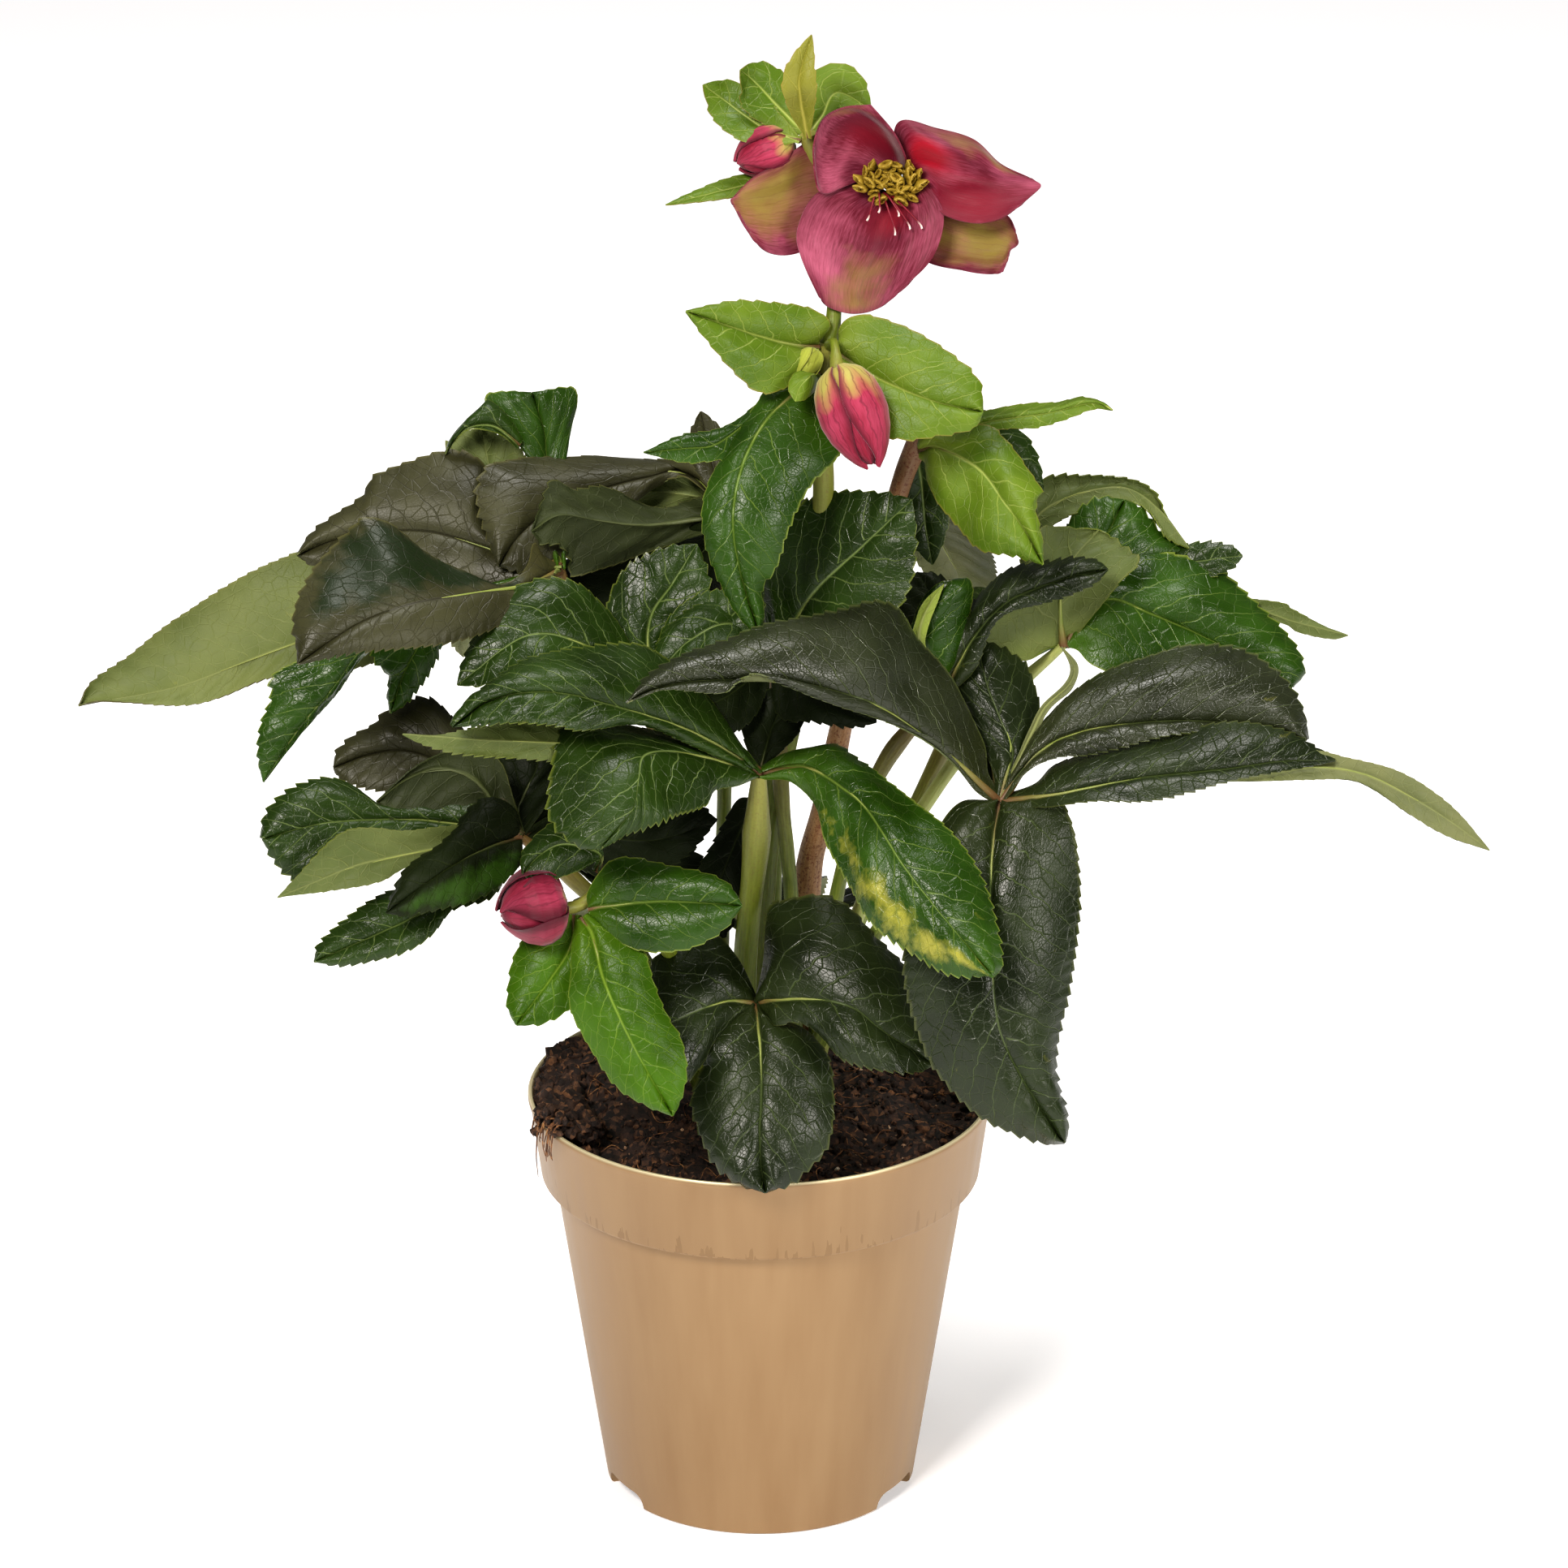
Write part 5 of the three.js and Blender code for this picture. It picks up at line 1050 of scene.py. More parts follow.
flowerStemBud = {
    "finish": "green", "slot": "green_stem",
    "runs": [{"line": [(-9.7, -10.8, 112), (-23, -36, 171), (-36, -50, 197), (-43, -54.5, 200),
                       (-49, -57.5, 197.3), (-57, -61.5, 198)],
              "radii": [3.2, 2.8, 2.5, 2.3, 2.2, 2.0, 1.6]}],
}
budStalk = {
    "finish": "green", "slot": "green_stem",
    "runs": [{"line": [(19, -20, 344), (20, -28, 347.5), (20.5, -34, 346), (21, -37, 342)],
              "radii": [1.7, 1.2, 1.2, 2.2]}],
}
makeStem("flowerStemMain", "flower_stem_main", flowerStemMain, 501)
makeStem("flowerStemSide", "flower_stem_side", flowerStemSide, 511)
makeStem("flowerStemBud", "flower_stem_bud", flowerStemBud, 521)
makeStem("budStalk", "bud_stalk", budStalk, 531)
print("stems made")


# silky sepal skin: fine long cells and soft clouds painted paler as a painted sheen, veins fanning from the
# base to the tip; the third part of blade is painted light: a painted highlight above zero, painted shade
# below it
def sepalMaterial(name, look):
    material, tree, shader = newMaterial(name)
    blade = addNode(tree, "Attribute", attribute_name="blade", out="Vector")
    veins = addNode(tree, "Attribute", attribute_name="veins", out="Vector")
    paintedHighlightAndShade = addNode(tree, "SeparateXYZ", {0: blade}, out=2)
    fan, edge, patch = addNode(tree, "SeparateXYZ", {0: veins}).node.outputs
    wander = addNode(tree, "TexNoise", {"Vector": blade, "Scale": 0.25, "Detail": 3.0})
    wandered = addNode(tree, "Math", {0: wander, 1: 3.0, 2: fan}, operation="MULTIPLY_ADD")
    fromVein = addNode(tree, "Math", {0: wandered, 1: look["veinGap"] / 2}, operation="PINGPONG")
    vein = addNode(tree, "MapRange", {0: fromVein, 2: 0.32, 3: look["veinShow"], 4: 0.0},
                   interpolation_type="SMOOTHSTEP")
    # long cells, a tenth of a millimetre wide, drawn at a half so that they show
    cells = addNode(tree, "Mapping", {"Vector": blade, "Scale": (0.22, 2.4, 0.0)})
    silk = addNode(tree, "TexNoise", {"Vector": cells, "Scale": 1.0, "Detail": 3.0, "Roughness": 0.6})
    # painted sheen: soft clouds over the cells make the silk paler, and the painted highlights and shade
    # lighten or darken it
    paintedSheen = addNode(tree, "TexNoise", {"Vector": blade, "Scale": 0.09, "Detail": 2.0})
    silky = addNode(tree, "Math", {0: paintedSheen, 1: 1.0, 2: silk}, operation="MULTIPLY_ADD")
    silkAndPaintedLight = addNode(tree, "Math", {0: silky, 1: paintedHighlightAndShade}, operation="ADD")
    silkShare = addNode(tree, "MapRange", {0: silkAndPaintedLight, 1: 0.9, 2: 1.8, 4: look["silkShow"]})
    cloud = addNode(tree, "TexNoise", {"Vector": blade, "Scale": 0.13, "Detail": 3.0})
    cloudy = addNode(tree, "Math", {0: cloud, 1: 0.9, 2: patch}, operation="MULTIPLY_ADD")
    oliveShare = addNode(tree, "MapRange", {0: cloudy, 1: 0.6, 2: 1.35})
    rimmed = addNode(tree, "MapRange", {0: edge, 1: 0.72, 2: 1.0, 3: 1.0, 4: 0.15})
    olive = addNode(tree, "Math", {0: oliveShare, 1: rimmed}, operation="MULTIPLY")
    deepShare = addNode(tree, "MapRange", {0: patch, 1: 0.0, 2: -1.0})
    base = addNode(tree, "Mix", {0: silkShare, 6: hexColor(look["color"]), 7: hexColor(look["silk"])},
                   **colorMix)
    green = addNode(tree, "Mix", {0: olive, 6: base, 7: hexColor(look["olive"])}, **colorMix)
    deepAndShaded = addNode(tree, "Mix", {0: deepShare, 6: green, 7: hexColor(look["deepAndShaded"])}, **colorMix)
    rim = addNode(tree, "MapRange", {0: edge, 1: 0.82, 2: 0.97, 4: look["rimShow"]})
    marked = addNode(tree, "Math", {0: vein, 1: rim}, operation="MAXIMUM")
    color = addNode(tree, "Mix", {0: marked, 6: deepAndShaded, 7: hexColor(look["vein"])}, **colorMix)
    tree.links.new(color, shader.inputs["Base Color"])
    rough = addNode(tree, "MapRange", {0: silk, 1: 0.3, 2: 0.7, 3: 0.46, 4: 0.66})
    tree.links.new(rough, shader.inputs["Roughness"])
    shader.inputs["IOR"].default_value = 1.42
    shader.inputs["Specular IOR Level"].default_value = 0.3
    shader.inputs["Sheen Weight"].default_value = 0.25
    shader.inputs["Sheen Roughness"].default_value = 0.4
    bump = addNode(tree, "Bump", {"Height": silk, "Strength": 0.5, "Distance": 0.15 * mm})
    tree.links.new(bump, shader.inputs["Normal"])
    return material


sepalLook = {"color": "#5E1026", "silk": "#BE6680", "olive": "#7E6C30", "deepAndShaded": "#9A0824", "vein": "#541626",
             "veinGap": 3.0, "veinShow": 0.16, "silkShow": 0.8, "rimShow": 0.15}
budLook = {**sepalLook, "color": "#7E0E2C", "silk": "#BC4C6A", "olive": "#A39A50", "deepAndShaded": "#3E0A18",
           "vein": "#4E0C20", "veinGap": 2.2, "veinShow": 0.5, "rimShow": 0.75}
greenBudLook = {**budLook, "color": "#8C9638", "silk": "#A4AA4C", "olive": "#98A03E", "vein": "#7A6A34",
                "deepAndShaded": "#6A7A2C", "veinShow": 0.3, "rimShow": 0.2}
sepalSkin = sepalMaterial("sepalSkin", sepalLook)
budSkin = sepalMaterial("budSkin", budLook)
greenBudSkin = sepalMaterial("greenBudSkin", greenBudLook)

# the flower's own plane: right, up and out towards the side it looks to, in mm from the middle of its eye
flowerPlane = {"at": (35.3, -3.8, 385.0), "tilt": 22.0}


def inFlower(points):
    return np.array(points, float) @ leaningWays(flowerPlane["tilt"]) + flowerPlane["at"]


# the smooth surface through a net of points: columns across each row, rows from the base to the tip
def onNet(net, rows, columns):
    across, _ = onCurve(np.array(net, float).transpose(1, 0, 2), np.linspace(0, 1, columns))
    return onCurve(across.transpose(1, 0, 2), np.linspace(0, 1, rows))[0]


# each sepal has a net of points from its base to its tip, olive patches, with deep red ones below zero
# (partly painted shade), and painted highlight and shade spots, all as (share of the length, place across,
# size, strength)
sepalShape = {"rows": 57, "columns": 45, "length": 40, "halfWidth": 15, "thickness": 0.5, "ripple": 0.35}
sepalBottom = {
    "seed": 601, "patches": [(0.98, -0.1, 0.24, 0.7), (0.66, 0.1, 0.16, 0.35), (0.3, 0.15, 0.14, -0.45)],
    "paintedHighlightAndShade": [(0.7, -0.65, 0.26, 0.5), (0.5, 0.6, 0.2, 0.15), (0.38, 0.0, 0.16, -0.5)], "net": [
    [(-4, 0, -7), (-2, -2, -7), (0, -3, -7), (2, -2, -7), (4, 0, -7)],
    [(-19, -3, 1), (-11, -7, -2), (-2, -9, -3.5), (6, -6, -1.5), (9.5, -1.5, 0)],
    [(-25, -13, 3), (-15, -15.5, 1.5), (-5, -18, -1.5), (5.5, -15, 2), (14, -9.5, 2)],
    [(-24, -21, 3), (-17, -24, 2), (-9.5, -27, -1), (1.5, -26, 2), (11.5, -20, 3)],
    [(-19.3, -31, 2), (-16.7, -34, 1), (-10, -35.7, 0), (-2.8, -34, 1), (4.5, -28, 2)]]}
sepalLeft = {
    "seed": 602, "patches": [(0.62, -0.1, 0.4, 0.85), (0.2, 0.2, 0.2, -0.2)],
    "paintedHighlightAndShade": [(0.5, 0.5, 0.3, 0.2)], "net": [
    [(-3, 3, -7), (-3, 1.5, -7.5), (-3, 0, -7.5), (-3, -1.5, -7.5), (-3, -3, -7)],
    [(-13, 10, -5), (-13.5, 5, -6.5), (-14, -1, -7), (-14, -7, -6), (-13, -13, -5)],
    [(-21.5, 10.8, -3), (-22, 5, -4), (-23, -2, -5), (-24, -11, -3.5), (-24, -19, -2)],
    [(-30, 5, -2), (-31, 1, -1.5), (-32, -5, -2.5), (-32, -12.5, 0), (-31, -19.9, 1)],
    [(-37.5, 0.2, -1), (-38.5, -2, 0), (-39.8, -6, 0.5), (-39, -11.5, 1.5), (-36, -17, 3)],
    [(-41.5, -4, 0), (-42.3, -5, 0.5), (-42.9, -5.6, 1), (-41.6, -7.5, 1.2), (-40.3, -9.5, 1.5)]]}
# the top sepal, with painted shade in a deep red patch inside its hood
sepalTop = {
    "seed": 603, "patches": [(0.95, 0.5, 0.22, 0.5), (0.35, 0.3, 0.25, -0.4)],
    "paintedHighlightAndShade": [(0.5, -0.7, 0.25, 0.4), (0.9, 0.0, 0.2, 0.3), (0.4, 0.4, 0.25, -0.5)], "net": [
    [(-4, 2, -7), (-3, 4, -7), (0, 5, -7), (2, 4, -7), (3.5, 2.5, -7)],
    [(-12.5, -1.7, -1), (-10.5, 5, -5), (-6, 10, -6), (-0.5, 10.5, -4), (3.9, 5.5, 1)],
    [(-17, -3.7, 2), (-16, 4.5, -2), (-11, 12.5, -3.5), (-4.5, 15, -1), (1.8, 10.5, 3.5)],
    [(-19.5, -2.6, 4), (-20, 5, 1), (-16.5, 14, 0), (-9.5, 18, 1.5), (-1.8, 15.6, 4.5)],
    [(-20.6, 3, 5), (-20.6, 9.5, 3.5), (-18.2, 16, 3), (-13, 19, 3.5), (-5.5, 19.8, 5)]]}
sepalRight = {
    "seed": 604, "patches": [(0.5, -0.85, 0.22, 0.5), (0.8, -0.75, 0.14, 0.5), (0.28, -0.25, 0.16, -1.5),
                             (0.6, 0.6, 0.3, -0.3)],
    "paintedHighlightAndShade": [(0.7, 0.6, 0.3, -0.3), (0.92, 0.0, 0.15, 0.3), (0.55, 0.0, 0.15, 0.15)], "net": [
    [(0.5, 4.5, -7), (2.5, 3.5, -7), (4, 2.5, -7), (4.5, 1, -7), (4.5, -0.5, -7)],
    [(2, 15.6, -2), (6, 10.5, 1.5), (7.5, 5, -3), (9, 1, -2.5), (9.5, -3, -1)],
    [(12, 14, -2.5), (14, 8.5, 3.5), (14.5, 3, -2.5), (14, -3, -1), (13.5, -9, 2)],
    [(22, 11, -2), (23, 6, 3), (22.5, 1, -1), (22, -5, 1), (21.5, -11.7, 3)],
    [(29, 4.5, -1), (29.8, 2, 1), (30, -1, 0.5), (29.5, -5.5, 2), (28.5, -10.8, 4)],
    [(36, 0.9, 0), (38, 0, 0.5), (40, -1.7, 1), (37, -4.7, 1.5), (34, -7.4, 2.5)]]}
sepalBack = {
    "seed": 605, "patches": [(0.6, -0.1, 0.45, 0.95)], "paintedHighlightAndShade": [(0.6, 0.0, 0.3, 0.1)], "net": [
    [(2, -1, -8), (2.5, -2, -8), (2.5, -3, -8), (2, -3.5, -8), (1, -4, -8)],
    [(14, -5, -7), (12.5, -9, -7.5), (11, -13, -7.5), (9.5, -17, -7), (8, -20, -6.5)],
    [(24, -7, -6), (22.5, -12, -6.5), (21.5, -17, -6), (20.5, -20.5, -5.5), (19.5, -23.7, -4)],
    [(31, -9, -4), (30.5, -13.5, -4.5), (29.8, -18, -4), (28.8, -21.7, -3.5), (27, -24.9, -2.5)],
    [(33.2, -13, -3), (34, -16.7, -2.5), (32, -18.5, -3), (31.3, -21, -3), (30, -24.3, -2.5)]]}


def makeSepal(name, node, sepal):
    rng = np.random.default_rng(sepal["seed"])
    rows, columns = sepalShape["rows"], sepalShape["columns"]
    piece, u, v = newGrid(rows - 1, columns - 1)
    row, column = np.round(u * (rows - 1)).astype(int), np.round((v + 1) / 2 * (columns - 1)).astype(int)
    points = onNet(sepal["net"], rows, columns)[row, column]
    reach = np.abs(v)
    points[:, 2] += ripples(rng, u, v, 1, 3) * sepalShape["ripple"] * (0.3 + reach) * np.clip(4 * u, 0, 1)
    patch, paintedHighlightAndShade = np.zeros(len(u)), np.zeros(len(u))
    for spots, total in ((sepal["patches"], patch), (sepal["paintedHighlightAndShade"], paintedHighlightAndShade)):
        for at, sideAt, size, strength in spots:
            total += strength * spotOn(u, v, at, sideAt, size)
    edge = np.maximum(reach, np.clip((u - 0.75) / 0.25, 0, 1))
    dress(piece, inFlower(points), [sepalSkin], veins=[v * 16, edge, patch],
          blade=[u * sepalShape["length"], v * sepalShape["halfWidth"], paintedHighlightAndShade])
    applyModifier(piece, "SOLIDIFY", thickness=sepalShape["thickness"] * mm, offset=0)
    bpy.ops.object.mode_set(mode="EDIT")
    turnFacesOut()
    finishPiece(name, [piece], 60, "sepal", node)


makeSepal("sepalBottom", "sepal_bottom", sepalBottom)
makeSepal("sepalLeft", "sepal_left", sepalLeft)
makeSepal("sepalTop", "sepal_top", sepalTop)
makeSepal("sepalRight", "sepal_right", sepalRight)
makeSepal("sepalBack", "sepal_back", sepalBack)
print("sepals made")


# turns points so that their +Z lies along the axis
def turnTo(points, axis):
    axis = unit(np.array(axis, float))
    side = unit(np.cross(axis, (0, -1, 0.01)))
    return points @ np.stack([side, np.cross(axis, side), axis])


# a bud: sepals wrapped round each other, each a grid bent onto the egg, one for each of the layers
budShape = {"shares": [0, 0.07, 0.2, 0.35, 0.5, 0.67, 0.82, 0.93, 1],
            "radii": [0.12, 0.6, 0.88, 0.99, 1, 0.87, 0.62, 0.36, 0.1],
            "rows": 34, "columns": 22, "halfTurn": 74, "layers": [1.0, 0.7, 0.35, 0.0, 0.0], "eachTurn": 144,
            "thickness": 0.4}


def makeBud(name, node, bud, seed):
    rng = np.random.default_rng(seed)
    start, end = np.array(bud["from"], float), np.array(bud["to"], float)
    length = np.linalg.norm(end - start)
    parts = []
    for number, layer in enumerate(budShape["layers"]):
        petal, u, v = newGrid(budShape["rows"], budShape["columns"])
        reach = np.abs(v)
        radius = np.interp(u, budShape["shares"], budShape["radii"]) * bud["radius"]
        radius += layer * bud["radius"] / 9
        radius += bud.get("flare", 0.4) * reach ** 5 + ripples(rng, u, v, 0.5, 1.4) * 0.12
        widest = np.sin(math.pi * (0.08 + 0.92 * u) ** 0.8).clip(0) ** 0.5
        halfTurn = math.radians(budShape["halfTurn"]) * (0.35 + 0.65 * widest)
        angle = math.radians(bud["turn"] + budShape["eachTurn"] * number) + v * halfTurn
        height = u * length * (1 - 0.02 * number) - 0.05 * length * reach ** 2 * u
        local = np.stack([radius * np.cos(angle), radius * np.sin(angle), height], 1)
        streak = 0.22 * np.sin(v * 11 + number) * (1 - u)
        green = np.clip(1 - u / bud["greenShare"], 0, 1) * 1.2 + streak
        green -= bud["deepAndShaded"] * (0.35 + reach ** 2) * u ** 0.5
        # painted highlight: paler near the foot and down the middle of each sepal, a little darker at its
        # edges near the tip
        paintedHighlightAndShade = 0.3 * (1 - u) + 0.3 * np.sin(math.pi * reach) - 0.12
        dress(petal, turnTo(local, end - start) + start, [bud["skin"]],
              blade=[u * length, v * radius, paintedHighlightAndShade], veins=[v * 9, reach, green])
        applyModifier(petal, "SOLIDIFY", thickness=budShape["thickness"] * mm, offset=-1)
        parts.append(petal)
    # a core keeps light from passing between the sepals
    bpy.ops.mesh.primitive_uv_sphere_add(segments=20, ring_count=12, radius=1)
    core = bpy.context.object
    ball = readPoints(core.data)
    u = (ball[:, 2] + 1) / 2
    offAxis = np.hypot(ball[:, 0], ball[:, 1]) > 0.001
    radius = np.interp(u, budShape["shares"], budShape["radii"]) * bud["radius"] * 0.93 * offAxis
    turn = np.arctan2(ball[:, 1], ball[:, 0])
    local = np.stack([radius * np.cos(turn), radius * np.sin(turn), u * length * 0.96], 1)
    dress(core, turnTo(local, end - start) + start, [bud["skin"]],
          blade=[u * length, turn * bud["radius"], u * 0], veins=[turn, u, u * 0])
    finishPiece(name, [*parts, core], 60, bud["slot"], node)


budHanging = {"from": (20.5, -36, 343.5), "to": (30.5, -45, 318), "radius": 8.1, "skin": budSkin,
              "slot": "bud", "turn": 200, "greenShare": 0.42, "deepAndShaded": 0.1}
budUpper = {"from": (9, 6, 393), "to": (-6, 4, 386.5), "radius": 6.4, "skin": budSkin, "slot": "bud",
            "turn": 30, "greenShare": 0.4, "deepAndShaded": 0.15}
budLeft = {"from": (-52.5, -60.5, 200.5), "to": (-70, -66, 198), "radius": 9.4, "skin": budSkin,
           "slot": "bud", "turn": 52, "greenShare": 0.12, "deepAndShaded": 0.85, "flare": 1.1}
budGreen = {"from": (15, -24, 344), "to": (11, -29, 337), "radius": 2.8, "skin": greenBudSkin,
            "slot": "green_bud", "turn": 0, "greenShare": 1, "deepAndShaded": 0}
makeBud("budHanging", "bud_hanging", budHanging, 701)
makeBud("budUpper", "bud_upper", budUpper, 702)
makeBud("budLeft", "bud_left", budLeft, 703)
makeBud("budGreen", "bud_green", budGreen, 704)
print("buds made")


# nectaries: little yellow-green horns crowded in a ring, each a grid rolled into a trumpet
nectarySkin = stalkMaterial("nectarySkin", {
    **stalkLook, "color": "#766018", "second": "#927A26", "end": "#AA9038", "endShow": 0.7,
    "speck": "#5A5214", "speckShow": 0.4})
styleSkin = stalkMaterial("styleSkin", {
    **stalkLook, "color": "#5E0A1C", "second": "#7A1428", "end": "#F0DCD4", "endFrom": 0.84, "endShow": 1.0,
    "speck": "#7A1830", "speckShow": 0.3})
# rings of horns, as radius, count, size and splay, and the tips of the styles
flowerEye = {"rings": [(6.0, 14, 1.2, 0.36), (4.2, 11, 1.25, 0.24), (2.4, 7, 1.25, 0.12), (0.7, 3, 1.2, 0.0)],
             "droop": -0.06, "flat": 0.62,
             "styles": [(-6.5, -11, 3), (1, -15, 4), (5, -13.4, 4), (8.2, -13.2, 3.5), (-3.4, -9, 5),
                        (2, -10, 5)]}


# one horn: radius and height of its profile, up the outside and down into its throat, and its squeezed mouth
horn = {"profile": [(0.5, 0), (0.8, 1.5), (1.1, 3.2), (1.4, 4.8), (1.6, 5.7), (1.5, 6.2), (1.15, 6.4),
                    (0.8, 6.1), (0.4, 5.7), (0.05, 5.5)], "sides": 14, "squeeze": 0.5, "mouthAt": 6.3}


def makeHorn(place, axis, size, turn, rng):
    steps = len(horn["profile"]) - 1
    piece, u, v = newGrid(2 * steps, horn["sides"])
    angle = math.pi * v
    radius, height = (atStations(column, u) for column in zip(*horn["profile"]))
    mouth = np.clip((height - 3) / 3, 0, 1)
    lips = 0.3 * mouth * np.sin(4 * angle + rng.uniform(0, 6)) + 0.9 * mouth * np.cos(angle)
    lips += 0.25 * mouth * np.sin(7 * angle + rng.uniform(0, 6))
    flat = 1 - (1 - horn["squeeze"]) * mouth
    local = np.stack([radius * np.cos(angle) * flat, radius * np.sin(angle), height + lips], 1) * size
    cos, sin = math.cos(turn), math.sin(turn)
    local = local @ np.array([(cos, sin, 0), (-sin, cos, 0), (0, 0, 1)])
    dress(piece, turnTo(local, axis) + place, [nectarySkin], stalk=[height * 2, local[:, 0], local[:, 1]],
          share=np.clip(height / horn["mouthAt"], 0, 1))
    closeMesh(0.02)
    return piece


def makeNectaries():
    rng = np.random.default_rng(801)
    parts = []
    for ring, count, size, splay in flowerEye["rings"]:
        for number in range(count):
            turn = 2 * math.pi * (number + rng.uniform(-0.25, 0.25)) / count
            foot = np.array([ring * math.cos(turn), ring * flowerEye["flat"] * math.sin(turn), -5.5])
            way = np.array([math.cos(turn) * splay,
                            math.sin(turn) * splay * flowerEye["flat"] + flowerEye["droop"], 1])
            way += rng.uniform(-0.12, 0.12, 3)
            place, end = inFlower([foot, foot + way])
            parts.append(makeHorn(place, end - place, size * rng.uniform(0.85, 1.15), turn + math.pi, rng))
    finishPiece("nectaryRing", parts, 80, "nectary", "nectary_ring")


def makeStyles():
    parts = []
    for number, tip in enumerate(flowerEye["styles"]):
        line = inFlower([(-2.5 + 0.2 * tip[0], -3, -3), (-1.5 + 0.5 * tip[0], 0.5 * tip[1], 3.2),
                         (0.9 * tip[0], 0.88 * tip[1], tip[2] - 0.5), tip])
        parts.append(makeStalk(line, [0.55, 0.4, 0.3, 0.24, 0.22, 0.3], styleSkin, 820 + number,
                               sides=8, pitch=0.8))
    finishPiece("pistils", parts, 80, "pistil", "pistils")


makeNectaries()
makeStyles()
print("flower eye made")


# thermoformed polypropylene with a satin gold pigment: soft broad highlight, faint flow lines downwards
def goldPlastic():
    material, tree, shader = newMaterial("satinGoldPolypropylene")
    place = addNode(tree, "TexCoord", out="Object")
    flow = addNode(tree, "Mapping", {"Vector": place, "Scale": (120.0, 120.0, 9.0)})
    streak = addNode(tree, "TexNoise", {"Vector": flow, "Scale": 1.0, "Detail": 3.0})
    grain = addNode(tree, "TexNoise", {"Vector": place, "Scale": 2500.0, "Detail": 1.0})
    tone = addNode(tree, "MapRange", {0: streak, 1: 0.3, 2: 0.7})
    color = addNode(tree, "Mix", {0: tone, 6: hexColor("#8E7250"), 7: hexColor("#987D5B")}, **colorMix)
    # short draw marks stand at the foot of the rim band, and a painted highlight runs round the lip
    level = addNode(tree, "SeparateXYZ", {0: place}, out=2)
    drawn = addNode(tree, "Mapping", {"Vector": place, "Scale": (560.0, 560.0, 10.0)})
    marks = addNode(tree, "TexNoise", {"Vector": drawn, "Scale": 1.0, "Detail": 2.0})
    above = addNode(tree, "MapRange", {0: level, 1: 94 * mm, 2: 104 * mm, 3: 0.54, 4: 0.74})
    inBand = addNode(tree, "Math", {0: level, 1: 93.4 * mm}, operation="GREATER_THAN")
    marked = addNode(tree, "Math", {0: marks, 1: above}, operation="GREATER_THAN")
    markShare = addNode(tree, "Math", {0: marked, 1: inBand}, operation="MULTIPLY")
    scored = addNode(tree, "Mix", {0: markShare, 6: color, 7: hexColor("#886D4C")}, **colorMix)
    # a pale band painted round the top of the lip, a painted highlight
    lipHighlight = addNode(tree, "MapRange", {0: level, 1: 117.3 * mm, 2: 117.9 * mm})
    lipHighlighted = addNode(tree, "Mix", {0: lipHighlight, 6: scored, 7: hexColor("#D8CDA8")}, **colorMix)
    tree.links.new(lipHighlighted, shader.inputs["Base Color"])
    rough = addNode(tree, "MapRange", {0: streak, 1: 0.3, 2: 0.7, 3: 0.38, 4: 0.5})
    tree.links.new(rough, shader.inputs["Roughness"])
    shader.inputs["Metallic"].default_value = 0.35
    shader.inputs["IOR"].default_value = 1.49
    heights = addNode(tree, "Math", {0: grain, 1: 0.25, 2: streak}, operation="MULTIPLY_ADD")
    bump = addNode(tree, "Bump", {"Height": heights, "Strength": 0.2, "Distance": 0.1 * mm})
    tree.links.new(bump, shader.inputs["Normal"])
    return material


pot = {"sides": 144, "foot": 42.9, "notchAngles": [-118, -62, 62, 118], "notchSize": (12, 20, 9.4),
       "notchAt": 44, "notchRound": 3.5,
       # radius and height, up the outside, over the rim and down the inside
       "outline": [(43.7, 0.6), (57.5, 91.5), (57.9, 92.8), (58.6, 93.2), (60.9, 93.4), (61.5, 94.2),
                   (64.4, 115.6), (65.0, 116.6), (65.0, 117.4), (64.6, 118.0), (64.0, 118.0), (63.6, 117.5),
                   (63.2, 116.2), (60.0, 95.6), (57.0, 94.6), (56.5, 93.0), (42.4, 3.4), (41.4, 2.6)]}


def makePot():
    bpy.ops.mesh.primitive_circle_add(vertices=pot["sides"], radius=pot["foot"] * mm, fill_type="TRIFAN")
    piece = bpy.context.object
    bpy.ops.object.mode_set(mode="EDIT")
    bpy.ops.mesh.select_mode(type="EDGE")
    bpy.ops.mesh.select_all(action="DESELECT")
    bpy.ops.mesh.select_non_manifold()
    radius, height = pot["foot"], 0.0
    for newRadius, newHeight in pot["outline"]:
        bpy.ops.mesh.extrude_edges_move(TRANSFORM_OT_translate={"value": (0, 0, (newHeight - height) * mm)})
        bpy.ops.transform.resize(value=(newRadius / radius, newRadius / radius, 1),
                                 center_override=(0, 0, newHeight * mm))
        radius, height = newRadius, newHeight
    bpy.ops.mesh.fill()
    turnFacesOut()
    for degrees in pot["notchAngles"]:
        bpy.ops.mesh.primitive_cube_add(size=1, location=(pot["notchAt"] * mm, 0, 0),
                                        scale=[edge * mm for edge in pot["notchSize"]])
        cutter = bpy.context.object
        bpy.ops.object.mode_set(mode="EDIT")
        bpy.ops.mesh.select_all(action="SELECT")
        bpy.ops.mesh.bevel(offset=pot["notchRound"] * mm, segments=4)
        bpy.ops.transform.rotate(value=math.radians(degrees - 90), orient_axis="Z", center_override=(0, 0, 0))
        bpy.ops.object.mode_set(mode="OBJECT")
        applyModifier(piece, "BOOLEAN", operation="DIFFERENCE", object=cutter, solver="EXACT")
        bpy.data.objects.remove(cutter)
    piece.data.materials.append(goldPlastic())
    finishPiece("nurseryPot", [piece], 40, "gold_pot", "pot")


makePot()
print("pot made")


